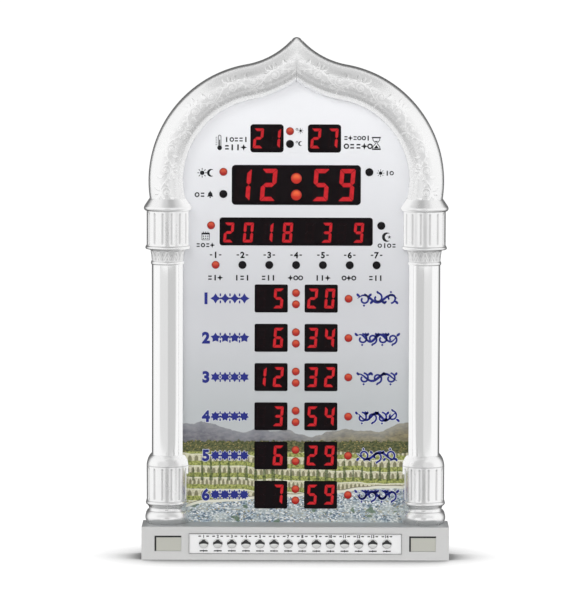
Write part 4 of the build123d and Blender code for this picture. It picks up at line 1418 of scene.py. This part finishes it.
@dataclass
class Lamps:
    """The domed indicator lamps, seated on the panel; places in millimetres."""

    materials: dict[str, bpy.types.Material]
    small: LampShape = LampShape()
    large: LampShape = LampShape(0.0075, 0.0036, 0.0205)

    def group(self, name: str, node: str, state: LampState, places: Sequence[Point], shape: LampShape) -> None:
        """Makes one group of lamps in one state.

        Args:
            name: the piece's name.
            node: the CAD node it stands for.
            state: whether it glows.
            places: the lamps' centres.
            shape: the lamps' size.
        """
        bm = bmesh.new()
        centres = [(x * MM, z * MM) for x, z in places]
        for centre in centres:
            shape.dome(bm, centre)
        close_up(bm, shape.steps + 1)
        bmesh.ops.recalc_face_normals(bm, faces=bm.faces[:])
        upper = bm.verts.layers.float.new("upper")
        rim = bm.verts.layers.float.new("rim")
        for corner in bm.verts:
            spot = (corner.co.x, corner.co.z)
            centre = min(centres, key=lambda middle: math.dist(middle, spot))
            # Painted shade towards each dome's rim and a painted highlight on its upper part, carried in the rim and
            # upper attributes.
            edge = min(1.0, math.dist(centre, spot) / shape.radius) ** 4
            corner[rim] = edge
            corner[upper] = max(0.0, min(1.0, 0.28 + 0.95 * (spot[1] - centre[1]) / shape.radius)) * (1 - edge)
        finish_mesh(bm, name, self.materials[state.value], HOUSING, 50.0, [node])

    def build(self) -> None:
        """Makes every lamp."""
        days = [(x, 409.6) for x in DAY_PLACES]
        for name, node, state, places in (
            ("row_colons", "row_colon_lamps", LampState.RED, [(0.0, z + step) for z in ROW_LEVELS for step in (-8, 8)]),
            ("row_markers", "row_marker_lamps", LampState.RED, [(73.8, z) for z in ROW_LEVELS]),
            ("day_lamp_lit", "day_lamps", LampState.RED, days[:1]),
            ("day_lamps_off", "day_lamps", LampState.OFF, days[1:]),
            ("status_lamps_lit", "status_lamps", LampState.RED, [(-9.0, 597.4), (-102.1, 540.2), (-119.2, 465.1)]),
            ("status_lamps_off", "status_lamps", LampState.OFF,
             [(-9.0, 579.5), (-102.1, 509.1), (102.1, 540.2), (119.2, 465.1)]),
        ):
            self.group(name, node, state, places, self.small)
        self.group("time_colon", "time_colon_lamps", LampState.ORANGE, [(0.0, 531.2), (0.0, 507.9)], self.large)
        LOG.info("lamps seated")


# ---------------------------------------------------------------- print and buttons
class Ink:
    """Thin raised print of one colour that faces the front; marks are in millimetres from an origin."""

    least_half_width = 0.12
    lozenge = math.pi / 4

    def __init__(self, front: float, grow: float = 0.0, thickness: float = 0.12) -> None:
        """Starts an empty print.

        Args:
            front: y of the print's face, in metres.
            grow: widens every mark by this much all round, for outlines.
            thickness: how thick the print is.
        """
        self.bm = bmesh.new()
        self.front, self.grow, self.thickness = front, grow, thickness
        self.origin = (0.0, 0.0)

    def at(self, x: float, z: float) -> "Ink":
        """Moves the origin of the marks that follow."""
        self.origin = (x, z)
        return self

    def placed(self, points: Sequence[Point]) -> list[Point]:
        """Points of the face in metres."""
        return [((self.origin[0] + x) * MM, (self.origin[1] + z) * MM) for x, z in points]

    def shape(self, outline: Sequence[Point]) -> None:
        """Prints a filled outline."""
        polygon(self.bm, self.placed(outline), self.front, self.thickness * MM)

    def disc(self, centre: Point, radius: float, count: int = 18) -> None:
        """Prints a disc."""
        self.shape(ring_points(centre, radius + self.grow, count))

    def bar(self, centre: Point, width: float, height: float, turn: float = 0.0) -> None:
        """Prints a bar.

        Args:
            centre: its centre.
            width: its width.
            height: its height.
            turn: how far it is turned anticlockwise, in radians.
        """
        w, h = width / 2 + self.grow, height / 2 + self.grow
        c, s = math.cos(turn), math.sin(turn)
        self.shape([(centre[0] + x * c - z * s, centre[1] + x * s + z * c)
                    for x, z in ((-w, -h), (w, -h), (w, h), (-w, h))])

    def star(self, centre: Point, radius: float, tips: int, waist: float) -> None:
        """Prints a star.

        Args:
            centre: its centre.
            radius: reach of its tips.
            tips: how many.
            waist: reach of the inner corners as a share of the radius.
        """
        reach = (radius + self.grow * 1.3, radius * waist + self.grow)
        self.shape([on_arc(centre, reach[k % 2], math.pi / 2 - math.pi * k / tips) for k in range(2 * tips)])

    def ribbon(self, path: Sequence[Point], width: float, taper: bool = False) -> None:
        """Prints a line of even or tapering width.

        Args:
            path: its points.
            width: its full width.
            taper: True narrows it towards both ends.
        """
        points = np.array(path, float)
        run = np.gradient(points, axis=0)
        run /= np.maximum(np.hypot(run[:, 0], run[:, 1]), 1e-6)[:, None]
        share = np.linspace(0, 1, len(points))
        wide = width / 2 * (np.sin(np.pi * share) ** 0.5 if taper else np.ones_like(share)) + self.grow
        offset = np.stack((-run[:, 1], run[:, 0]), axis=1) * np.maximum(wide, self.least_half_width)[:, None]
        start, edges = chain(self.bm, [(x, self.front, z) for x, z in self.placed(points + offset)])
        spots = {self.key(corner): spot for corner, spot in zip(start, self.placed(points - offset))}
        made = bmesh.ops.extrude_edge_only(self.bm, edges=edges)["geom"]
        for corner in picked(made, bmesh.types.BMVert):
            corner.co.x, corner.co.z = spots[self.key(corner)]
        back = bmesh.ops.extrude_face_region(self.bm, geom=picked(made, bmesh.types.BMFace))["geom"]
        bmesh.ops.translate(self.bm, verts=picked(back, bmesh.types.BMVert), vec=(0, self.thickness * MM, 0))

    @staticmethod
    def key(corner: bmesh.types.BMVert) -> Point:
        """Place of a corner, rounded to tell it by."""
        return round(corner.co.x, 7), round(corner.co.z, 7)

    def ring(self, centre: Point, radius: float, width: float) -> None:
        """Prints a ring."""
        path = ring_points(centre, radius, 18)
        self.ribbon(path + path[:1], width)

    def crescent(self, radius: float) -> None:
        """Prints a crescent round the origin, open to the right.

        Args:
            radius: radius of its outer edge.
        """
        outer = ring_points((0, 0), radius + self.grow, 22, math.radians(48), math.radians(264))
        self.shape(outer + ring_points((radius * 0.42, 0), radius * 0.78 - self.grow, 16, math.radians(-72),
                                       math.radians(-216)))

    def numeral(self, figures: str, centre: Point, height: float, bold: float) -> None:
        """Prints a number in the plain built-in face.

        Args:
            figures: its digits.
            centre: its centre.
            height: height of the digits.
            bold: extra thickness as a share of the height.
        """
        curve = bpy.data.curves.new("figures", "FONT")
        curve.body = figures
        curve.size = height * MM / 0.73
        curve.offset = (height * bold + self.grow) * MM
        curve.extrude = self.thickness * MM / 2
        curve.resolution_u = 4
        holder = bpy.data.objects.new("figures", curve)
        mesh = bpy.data.meshes.new_from_object(holder)
        place = np.array([v.co for v in mesh.vertices])
        low, high = place.min(axis=0), place.max(axis=0)
        (x, z), middle = self.placed([centre])[0], (low + high) / 2
        mesh.transform(Matrix.Translation((-middle[0], -middle[1], -high[2])))
        mesh.transform(Matrix.Translation((x, self.front, z)) @ Matrix.Rotation(math.pi / 2, 4, "X"))
        self.bm.from_mesh(mesh)
        bpy.data.meshes.remove(mesh)
        bpy.data.objects.remove(holder)
        bpy.data.curves.remove(curve)

    def dry(self, name: str, material: bpy.types.Material) -> None:
        """Turns the print into a finished piece."""
        bmesh.ops.recalc_face_normals(self.bm, faces=self.bm.faces[:])
        finish_mesh(self.bm, name, material, HOUSING)


@dataclass
class Labels:
    """Pictograms, plain numbers and ornament printed on the face; lengths in millimetres."""

    black: bpy.types.Material
    blue: bpy.types.Material
    white: bpy.types.Material
    bead_lines: tuple[tuple[float, ...], ...] = (
        (-100.5, -70.5, 585.5, 7.2), (-100.5, -70.5, 574.5, 8.2), (66.5, 104.5, 588.0, 6.8), (66.5, 104.0, 576.5, 8.6),
        (-142.0, -127.5, 508.0, 7.8), (124.5, 134.0, 539.0, 6.8), (-140.0, -114.0, 437.2, 6.8),
        (114.5, 140.0, 437.2, 6.8))

    @staticmethod
    def sun(ink: Ink, radius: float) -> None:
        """A sun: a disc with eight rays.

        Args:
            ink: the ink it is printed in.
            radius: how far its rays reach.
        """
        ink.disc((0, 0), radius * 0.48)
        for angle in np.arange(8) * math.pi / 4:
            ink.bar(on_arc((0, 0), radius * 0.82, angle), radius * 0.38, radius * 0.16, angle)

    @staticmethod
    def calendar(ink: Ink) -> None:
        """A leaf of a calendar.

        Args:
            ink: the ink it is printed in.
        """
        ink.bar((0, 4.2), 11.5, 2.4)
        ink.ribbon([(-5.2, 4), (-5.2, -4.6), (5.2, -4.6), (5.2, 4)], 1.0)
        for column in (-1, 0, 1):
            ink.bar((column * 3.2, 6.1), 1.1, 1.8)
            for z in (0.6, -2.4):
                ink.bar((column * 3.0, z), 1.5, 1.5)

    @staticmethod
    def thermometer(ink: Ink) -> None:
        """A thermometer with a scale beside it.

        Args:
            ink: the ink it is printed in.
        """
        ink.disc((0, -7.4), 3.3, 24)
        ink.bar((0, -1.0), 1.5, 10.0)
        ink.ribbon([(-1.9, -5), (-1.9, 8.4), *ring_points((0, 8.4), 1.9, 9, math.pi, -math.pi), (1.9, -5)], 0.9)
        for mark in range(5):
            ink.bar((-4.6, mark * 2.6 - 3.0), 2.2, 0.8)

    @staticmethod
    def hourglass(ink: Ink) -> None:
        """An hourglass.

        Args:
            ink: the ink it is printed in.
        """
        for end in (-1, 1):
            ink.bar((0, end * 8.2), 12.4, 1.8)
            ink.ribbon([(end * x, z) for x, z in ((5.0, 7.4), (4.6, 4.4), (0.9, 0), (4.6, -4.4), (5.0, -7.4))], 1.1)
        ink.shape([(-3.6, -6.9), (3.6, -6.9), (0, -2.4)])
        ink.shape([(-2.6, 3.4), (0, 0.8), (2.6, 3.4)])

    @staticmethod
    def bell(ink: Ink) -> None:
        """A bell.

        Args:
            ink: the ink it is printed in.
        """
        profile = [(4.6, -2.6), (3.4, -1.4), (2.9, 1.4), (1.9, 3.2), (0.7, 3.9)]
        ink.shape(profile + [(-x, z) for x, z in reversed(profile)])
        ink.disc((0, -3.7), 1.1, 10)
        ink.disc((0, 4.5), 0.8, 8)

    @staticmethod
    def beads(ink: Ink, start: float, end: float, z: float, size: float, seed: int) -> None:
        """A line of small bars, stars, rings and double strokes, as generic as a border.

        Args:
            ink: what it is printed with.
            start: its left end.
            end: its right end.
            z: its middle height.
            size: its height.
            seed: picks the order of the marks.
        """
        ink.at(0, z)
        dice = np.random.default_rng(seed)
        x = start + size * 0.4
        while x < end:
            kind = int(dice.integers(0, 4))
            if kind == 0:
                ink.star((x, 0), size * 0.55, 4, 0.42)
            elif kind == 1:
                ink.bar((x, 0), size * 0.26, size)
            elif kind == 2:
                ink.ring((x, 0), size * 0.34, size * 0.22)
            else:
                for side in (1, -1):
                    ink.bar((x, side * size * 0.26), size * 0.62, size * 0.24)
            x += size * float(dice.uniform(0.86, 1.02))

    def pictograms(self, ink: Ink) -> None:
        """Prints the black marks of the upper face.

        Args:
            ink: what they are printed with.
        """
        self.thermometer(ink.at(-107.4, 581.2))
        self.hourglass(ink.at(111.8, 580.6))
        self.bell(ink.at(-120.5, 508.0))
        self.calendar(ink.at(-126.8, 449.2))
        for z in (597.5, 579.5):
            ink.at(0.6, z + 2.6).ring((0, 0), 1.3, 0.7)
        for x, z, radius in ((5.8, 598.0, 3.8), (-131.8, 538.7, 6.6), (118.0, 539.0, 5.2)):
            self.sun(ink.at(x, z), radius)
        for x, z, radius in ((5.8, 580.0, 3.4), (-119.6, 538.7, 5.4), (126.8, 449.2, 6.6)):
            ink.at(x, z).crescent(radius)
        ink.at(130.6, 449.2).star((0, 0), 2.7, 5, 0.42)
        for seed, (start, end, z, size) in enumerate(self.bead_lines, 1):
            self.beads(ink, start, end, z, size, seed)
        for day, x in enumerate(DAY_PLACES):
            self.beads(ink, x - 11.0, x + 11.0, 391.5, 7.8, 20 + day)
            ink.at(x, 423.6).numeral(str(day + 1), (0, 0), 8.6, 0.055)
            for side in (-1, 1):
                ink.bar((side * 6.4, 0), 3.4, 1.7)

    @staticmethod
    def row_mark(ink: Ink, row: int) -> None:
        """Prints a row's number and its band of stars, left of its display.

        Args:
            ink: what it is printed with, at the row's height.
            row: the row, from 0.
        """
        ink.numeral(str(row + 1), (-126.2, 0), 15.4, 0.07)
        for place in range(4):
            x = -112.8 + place * 13.5
            ink.star((x, 0), 7.2, 4 + row, 0.54 + 0.03 * row)
            if place < 3:
                ink.bar((x + 6.75, 0), 2.2, 2.2, ink.lozenge)
                for side in (1, -1):
                    ink.bar((x + 6.75, side * 5.0), 2.0, 3.8)

    @staticmethod
    def flourish(ink: Ink, row: int) -> None:
        """Prints a row's vine scroll, right of its lamp.

        Args:
            ink: what it is printed with, at the row's height.
            row: picks the scroll's shape.
        """
        dice = np.random.default_rng(40 + row)
        left, length = 86.0, 56.5
        bends = 3 + row % 2
        share = np.linspace(0, 1, 70)
        stem = 5.0 * np.sin(share * bends * math.pi + row * 0.6)
        ink.ribbon(list(zip(left + length * share, stem)), 3.6, True)
        turn = np.linspace(0, 1.75 * math.pi, 26)
        reach = 7.4 * (1 - 0.62 * turn / turn[-1])
        for bend in range(bends):
            middle = left + length * (bend + 0.5) / bends
            side = 1 if dice.random() < 0.5 else -1
            angle = side * (math.pi / 2 - turn) if bend % 2 else side * (turn - math.pi / 2)
            ink.ribbon([on_arc((middle, side * 1.2), r, a) for r, a in zip(reach, angle)], 2.6)
            for step in (-1, 1):
                root = (middle + step * 5.5, -side * 3.6)
                lean = dice.uniform(0.5, 1.2) * step
                tip = (root[0] + 5.2 * math.sin(lean), root[1] - side * 4.0)
                bow = ((root[0] + tip[0]) / 2 + 1.2 * step, (root[1] + tip[1]) / 2)
                ink.ribbon(arc_profile(root, bow, tip, 9), 3.6, True)
            ink.bar((middle, side * 9.6), 2.6, 2.6, ink.lozenge)

    def build(self) -> None:
        """Prints everything on the face."""
        black = Ink(FACE_Y - 0.00010)
        self.pictograms(black)
        black.dry("face_pictograms", self.black)
        for name, material, proud, grow, rows in (
            ("row_marks", self.blue, 0.00014, 0.0, range(6)),
            ("row_mark_outlines", self.white, 0.00008, 0.55, (3, 4, 5)),
        ):
            ink = Ink(FACE_Y - proud, grow)
            for row in rows:
                ink.at(0, ROW_LEVELS[row])
                self.row_mark(ink, row)
                self.flourish(ink, row)
            ink.dry(name, material)
        LOG.info("face printed")


@dataclass
class Buttons:
    """The push buttons' caps and the numbers printed round them."""

    cap: bpy.types.Material
    ink: bpy.types.Material
    count: int = 14
    radius: float = 0.0064
    crown: float = 0.0016
    tip_y: float = -0.0375
    back_y: float = -0.0327
    bezel_y: float = -0.0343
    steps: int = 48

    def profile(self) -> list[Point]:
        """Profile of a cap, from its tip to its back.

        Returns:
            Its points as (radius, y).
        """
        ball = (self.radius**2 + self.crown**2) / (2 * self.crown)
        reach = [(self.radius - 0.0005) * k / 12 for k in range(13)]
        dome = [(r, self.tip_y + ball - math.sqrt(ball**2 - r**2)) for r in reach]
        low = self.tip_y + self.crown + 0.0004
        bend = arc_profile(dome[-1], (self.radius - 0.00012, (dome[-1][1] + low) / 2 - 0.00006), (self.radius, low), 5)
        return chained(dome, bend, [(self.radius, self.back_y)])

    def push(self, number: int, x: float) -> None:
        """Makes one cap, with its flange and its peg, on its own body.

        Args:
            number: its number, from 1.
            x: its place across the plinth.
        """
        bm = bmesh.new()
        z = BUTTON_ROW_Z * MM
        corners, edges = chain(bm, [(x + r, y, z) for r, y in self.profile()])
        spun(bm, corners + edges, (x, 0, z), self.steps)
        close_up(bm, self.steps + 1)
        for side, depth in ((0.0146, 0.001), (0.003, 0.0042)):
            made = bmesh.ops.create_cube(bm, size=1.0)["verts"]
            bmesh.ops.scale(bm, vec=(side, depth, side), verts=made)
            bmesh.ops.translate(bm, vec=(x, self.back_y + depth / 2, z), verts=made)
        bmesh.ops.recalc_face_normals(bm, faces=bm.faces[:])
        node = f"button_{number:02d}"
        finish_mesh(bm, f"push_{node}", self.cap, node, 35.0, [node])

    def build(self) -> None:
        """Makes every cap, and the print on the bezel."""
        printed = Ink(self.bezel_y - 0.00008, thickness=0.08)
        for number in range(self.count):
            x = (number - (self.count - 1) / 2) * BUTTON_PITCH
            self.push(number + 1, x * MM)
            printed.at(x, 0).numeral(str(number + 1), (0, 33.3), 4.0, 0.06)
            for side in (-1, 1):
                printed.bar((side * 5.6, 33.3), 3.6, 1.5)
                printed.bar((side * 3.4, 12.7), 4.2, 1.6)
            printed.bar((0, 12.7), 2.4, 2.4, printed.lozenge)
        printed.dry("bezel_numbers", self.ink)
        LOG.info("%d buttons seated", self.count)


@dataclass
class Trim:
    """Thin dark strips along the upper and left edges of the plates in the plinth's end pockets, painted shadow of the
    pocket walls, and the seams round the button bezel.
    """

    dark: bpy.types.Material
    front_y: float = -0.0338
    centre: Point = (0.178, 0.023)
    half: Point = (0.01876, 0.01086)
    width: float = 0.0025
    seam: float = 0.00018
    plinth_y: float = -0.03606

    def build(self) -> None:
        """Makes the painted shadow strips, along the upper and left edges of the pockets, and the seams."""
        bm = bmesh.new()
        (w, h), t, z = self.half, self.width, self.centre[1]
        # Painted shadow: dark strips along each pocket's upper and left edges.
        for x in (-self.centre[0], self.centre[0]):
            polygon(bm, [(x - w, z - h), (x - w + t, z - h), (x - w + t, z + h - t), (x + w, z + h - t),
                         (x + w, z + h), (x - w, z + h)], self.front_y, 0.0016, 0.0001)
        low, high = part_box("button_bezel")
        w, h, middle, t = (high.x - low.x) / 2, (high.z - low.z) / 2, (high.z + low.z) / 2, self.seam
        for x, z, dx, dz in ((0, middle + h, w, t), (0, middle - h, w, t), (w, middle, t, h), (-w, middle, t, h)):
            polygon(bm, rectangle(x - dx, z - dz, x + dx, z + dz), self.plinth_y, 0.0012)
        finish_mesh(bm, "inlay_shadow_strips", self.dark, HOUSING)
        LOG.info("shadow_strips fitted")


# ---------------------------------------------------------------- studio
@dataclass
class Studio:
    """Floor, soft lights, cards for the reflections and the camera."""

    target: tuple[float, float, float] = (0.0, 0.0, 0.36265)
    distance: float = 7.0
    elevation: float = math.radians(5.0)
    roll: float = math.radians(0.17)
    lens: float = 306.9
    shift: Point = (-0.0042, 0.0001)
    lamps: tuple = (
        ("key_light", (-1.6, -2.6, 2.4), 1.6, 27.0),
        ("fill_light", (1.9, -2.4, 1.2), 1.8, 12.0),
        ("front_light", (0.0, -4.0, 0.8), 2.0, 54.0),
        ("back_light", (0.9, 3.2, 1.9), 1.6, 45.0),
    )
    upright_cards: tuple = (
        ("front_card", 0.61, -0.184, ((-0.166, 0.115, 0.166, 0.395),)),
        ("shaft_card", 0.77, -0.300, ((-0.630, 0.108, 0.630, 0.378),)),
        ("drum_card", 0.34, -0.290, ((-0.235, 0.402, -0.127, 0.466), (0.127, 0.402, 0.235, 0.466),
                                     (-0.235, 0.010, -0.127, 0.104), (0.127, 0.010, 0.235, 0.104))),
        ("arch_card", 0.80, -0.200, ((-0.215, 0.470, -0.100, 0.580), (0.100, 0.470, 0.215, 0.580),
                                     (-0.170, 0.580, 0.170, 0.715))),
    )
    overhead_cards: tuple = (("overhead_card", 0.66, 0.42, 1.10), ("overhead_middle", 0.44, 0.16, 1.09))

    @staticmethod
    def stage(bm: bmesh.types.BMesh, name: str, material: bpy.types.Material) -> None:
        """Turns a bmesh into a piece of the stage."""
        link_mesh(bm, name, material)

    @staticmethod
    def flat(size: float, place: Point = (0.0, 0.0)) -> bmesh.types.BMesh:
        """A level square.

        Args:
            size: half its side.
            place: its y and z.

        Returns:
            Its mesh.
        """
        bm = bmesh.new()
        bmesh.ops.create_grid(bm, x_segments=1, y_segments=1, size=size)
        bmesh.ops.translate(bm, vec=(0, *place), verts=bm.verts[:])
        return bm

    @staticmethod
    def bare_material(name: str) -> tuple[bpy.types.Material, Graph]:
        """Starts a material without nodes.

        Args:
            name: the material's name.

        Returns:
            The material and its graph.
        """
        made, graph, _ = new_material(name)
        made.node_tree.nodes.clear()
        return made, graph

    def floor(self) -> None:
        """Makes the pale floor, which keeps the object's shadow and lets reflections see the studio."""
        made, graph = self.bare_material("floor")
        rays = graph.node("LightPath")
        matt, pale = (graph.signal("BsdfDiffuse", 0, {"Color": (grey, grey, grey, 1)}) for grey in (0.62, 0.30))
        near = graph.signal("AmbientOcclusion", "AO", {"Distance": 0.12}, samples=12)
        contact = graph.ramp(near, 0.565, 1.0, 0.0, 0.94, False)
        ahead = graph.ramp(graph.split(graph.place())[1], -0.158, -0.176, 0.0, 0.94)
        glow = graph.signal("Emission", 0, {"Strength": graph.math("MAXIMUM", contact, ahead)})
        both = graph.signal("AddShader", 0, {0: pale, 1: glow})
        seen = graph.either(graph.seen_directly(rays), matt, both)
        clear = graph.signal("BsdfTransparent", 0)
        mirrored = Signal(graph, rays.outputs["Is Glossy Ray"])
        graph.node("OutputMaterial", {"Surface": graph.either(mirrored, seen, clear)})
        self.stage(self.flat(90.0), "floor", made)

    def reflection(self, name: str, level: float, one_sided: bool = False) -> bpy.types.Material:
        """A card that only reflections see.

        Args:
            name: the material's name.
            level: its brightness.
            one_sided: True leaves its back clear.

        Returns:
            The new material.
        """
        made, graph = self.bare_material(name)
        mask = graph.signal("LightPath", "Is Glossy Ray")
        if one_sided:
            mask = mask * (1.0 - graph.signal("NewGeometry", "Backfacing"))
        clear = graph.signal("BsdfTransparent", 0)
        glow = graph.signal("Emission", 0, {"Strength": level})
        graph.node("OutputMaterial", {"Surface": graph.either(mask, clear, glow)})
        return made

    def cards(self) -> None:
        """Hangs the cards that the silver mouldings mirror: one on the face, four ahead and two overhead."""
        bm = bmesh.new()
        polygon_face(bm, rectangle(-0.1555, 0.115, 0.1555, 0.5274), 0.0150)
        for side in (-1, 1):
            polygon_face(bm, ring_points((side * 0.0416, 0.5274), 0.112, 48), 0.0149 + 0.00005 * side)
        self.stage(bm, "face_card", self.reflection("white_card", 0.97, True))
        for name, level, y, sheets in self.upright_cards:
            bm = bmesh.new()
            for sheet in sheets:
                polygon_face(bm, rectangle(*sheet), y)
            self.stage(bm, name, self.reflection(name, level))
        for name, level, size, height in self.overhead_cards:
            self.stage(self.flat(size, (-0.28, height)), name, self.reflection(name, level))

    @staticmethod
    def world() -> None:
        """Lights the scene evenly; reflections see white walls that turn dark at the back, and a pale ceiling."""
        world = bpy.data.worlds.new("studio")
        bpy.context.scene.world = world
        world.use_nodes = True
        world.node_tree.nodes.clear()
        graph = Graph(world.node_tree)
        rays = graph.node("LightPath")
        x, y, z = graph.split(graph.signal("TexCoord", "Generated"))
        bearing = abs(graph.math("ARCTAN2", x, y * -1.0) * (180 / math.pi))
        walls = graph.ramp(bearing, 110.0, 144.0, 1.0, 0.14) * graph.ramp(z, -0.62, -0.15, 0.5, 1.0)
        high = graph.ramp(z, 0.42, 0.80) * graph.ramp(y, 0.80, 0.45)
        studio, even, white = (graph.signal("Background", 0, {"Color": (1, 1, 1, 1), "Strength": level})
                               for level in (walls + high * (0.93 - walls), 0.36, 1.0))
        mirrored = graph.either(Signal(graph, rays.outputs["Is Glossy Ray"]), even, studio)
        graph.node("OutputWorld", {"Surface": graph.either(graph.seen_directly(rays), mirrored, white)})

    def lamp(self, name: str, place: Sequence[float], size: float, power: float) -> None:
        """Adds one soft square light aimed at the clock.

        Args:
            name: its name.
            place: where it stands.
            size: its side.
            power: its strength in watts.
        """
        light = bpy.data.lights.new(name, "AREA")
        light.shape = "SQUARE"
        light.size = size
        light.energy = power
        lamp = bpy.data.objects.new(name, light)
        lamp.location = place
        lamp.rotation_euler = (Vector(self.target) - Vector(place)).to_track_quat("-Z", "Y").to_euler()
        lamp.visible_glossy = False
        bpy.context.scene.collection.objects.link(lamp)

    def camera(self) -> None:
        """Places the camera."""
        data = bpy.data.cameras.new("camera")
        data.lens = self.lens
        data.sensor_fit = "HORIZONTAL"
        data.sensor_width = 36.0
        data.shift_x, data.shift_y = self.shift
        data.clip_end = 200.0
        camera = bpy.data.objects.new("camera", data)
        back = Vector((0, -math.cos(self.elevation), math.sin(self.elevation)))
        camera.location = Vector(self.target) + back * self.distance
        turn = (-back).to_track_quat("-Z", "Y").to_matrix() @ Matrix.Rotation(self.roll, 3, "Z")
        camera.rotation_euler = turn.to_euler()
        bpy.context.scene.collection.objects.link(camera)
        bpy.context.scene.camera = camera

    def build(self) -> None:
        """Sets up the whole studio."""
        self.floor()
        self.cards()
        self.world()
        for lamp in self.lamps:
            self.lamp(*lamp)
        self.camera()
        bpy.context.scene.view_settings.view_transform = "Standard"
        LOG.info("studio ready")


FINISHES = (
    Finish("black_plastic", (0.014, 0.014, 0.015), 0.45),
    Finish("solder_mask", (0.015, 0.12, 0.045), 0.35, coat=0.3),
    Finish("inlay_grey", (0.57, 0.57, 0.512), 0.34, grain_height=0.00001),
    Finish("cover_spark", (0.50, 0.50, 0.49), 0.58, grain_scale=1500.0, grain_height=0.00006),
    Finish("plinth_silver", (0.69, 0.69, 0.685), 0.36, metallic=0.15, specular=0.3),
    Finish("bezel_white", (0.985, 0.985, 0.99), 0.36, specular=0.9),
    Finish("screw_steel", (0.60, 0.60, 0.60), 0.28, metallic=1.0),
    Finish("speaker_steel", (0.03, 0.03, 0.03), 0.38, metallic=0.5),
    Finish("ferrite", (0.06, 0.06, 0.065), 0.7),
    Finish("speaker_paper", (0.025, 0.025, 0.027), 0.85, grain_height=0.00006),
    Finish("carved_silver", (0.975, 0.975, 0.975), 0.22, metallic=1.0, recess_colour=(0.70, 0.70, 0.705),
           recess_roughness=0.34, stipple=4.0),
    Finish("turned_silver", (0.955, 0.955, 0.955), 0.27, metallic=1.0, recess_colour=(0.62, 0.62, 0.62),
           recess_roughness=0.40),
    Finish("polished_silver", (0.955, 0.955, 0.955), 0.13, metallic=1.0, grain_height=0.000004),
    Finish("display_black", (0.007, 0.005, 0.006), 0.50, wear=0.02, specular=0.06),
    Finish("dark_segment", (0.010, 0.005, 0.006), 0.50, specular=0.06),
    Finish("lamp_off", (0.009, 0.008, 0.009), 0.50, specular=0.12),
    Finish("black_ink", (0.010, 0.010, 0.012), 0.5, specular=0.2),
    Finish("blue_ink", (0.022, 0.030, 0.24), 0.45, specular=0.25),
    Finish("white_ink", (0.80, 0.82, 0.84), 0.5, specular=0.25),
)
GLOWING = (
    LightTrack("segment_halo", (0.16, 0.010, 0.013), 0.55),
    LightTrack("lit_segment", (0.66, 0.024, 0.032), 0.84),
    LampGlass("lamp_red", (0.40, 0.015, 0.008), (0.82, 0.12, 0.035), (0.18, 0.007, 0.009), 0.86),
    LampGlass("lamp_orange", (0.60, 0.024, 0.008), (0.96, 0.19, 0.038), (0.36, 0.018, 0.014), 0.90),
)


class Dressing:
    """Every material by name, and which of them the CAD nodes that keep their own mesh wear."""

    # Painted shade for the upward faces of the plinth.
    ledge_shade_colour = (0.46, 0.475, 0.48)
    of_node = {
        "plinth": "plinth_silver", "front_panel": "panel_print", "button_bezel": "bezel_white",
        "plinth_inlay_left": "inlay_grey", "plinth_inlay_right": "inlay_grey", "rear_cover": "cover_spark",
        "plinth_base_plate": "cover_spark", "cover_screws": "screw_steel", "display_board": "solder_mask",
        "button_board": "solder_mask", "speaker_frame": "speaker_steel", "speaker_magnet": "ferrite",
        "speaker_cone": "speaker_paper",
    }

    def __init__(self, effects: Effects) -> None:
        """Builds the materials.

        Args:
            effects: the shared node groups.
        """
        self.materials = {finish.name: finish.material(effects) for finish in FINISHES}
        self.materials |= {glass.name: glass.material() for glass in GLOWING}
        self.materials["panel_print"] = PanelPrint(effects).made
        self.materials["button_silver"] = ButtonFinish().material(effects)
        self.paint_ledge_shade(self.materials["plinth_silver"])

    def paint_ledge_shade(self, finish: bpy.types.Material) -> None:
        """Paints shade on the upward faces of a finish: a deeper colour that stands in for the dim light on the ledge.

        Args:
            finish: the material, changed in place.
        """
        graph = Graph(finish.node_tree)
        shader = finish.node_tree.nodes["Principled BSDF"]
        plain = Signal(graph, shader.inputs["Base Color"].links[0].from_socket)
        upward = graph.ramp(graph.split(graph.signal("NewGeometry", "Normal"))[2], 0.6, 0.9)
        graph.fill(shader, {"Base Color": graph.mix(upward, plain, self.ledge_shade_colour)})

    def build(self) -> None:
        """Puts each node's finish on it."""
        for node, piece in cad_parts.items():
            dress(piece, self.materials[self.of_node.get(node, "black_plastic")])
        LOG.info("%d nodes dressed", len(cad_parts))


def main() -> None:
    """Builds every piece of the clock and the studio."""
    logging.basicConfig(level=logging.INFO, format="%(message)s")
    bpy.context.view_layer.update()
    dressing = Dressing(Effects())
    dressing.build()
    made = dressing.materials
    OgeeArch(made["carved_silver"]).build()
    column = Column(made["turned_silver"], made["polished_silver"])
    column.build("left")
    column.build("right")
    Displays(made["lit_segment"], made["segment_halo"], made["dark_segment"], made["display_black"]).build()
    Lamps(made).build()
    Labels(made["black_ink"], made["blue_ink"], made["white_ink"]).build()
    Buttons(made["button_silver"], made["black_ink"]).build()
    Trim(made["black_plastic"]).build()
    Studio().build()
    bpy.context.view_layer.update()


if __name__ == "__main__":
    main()
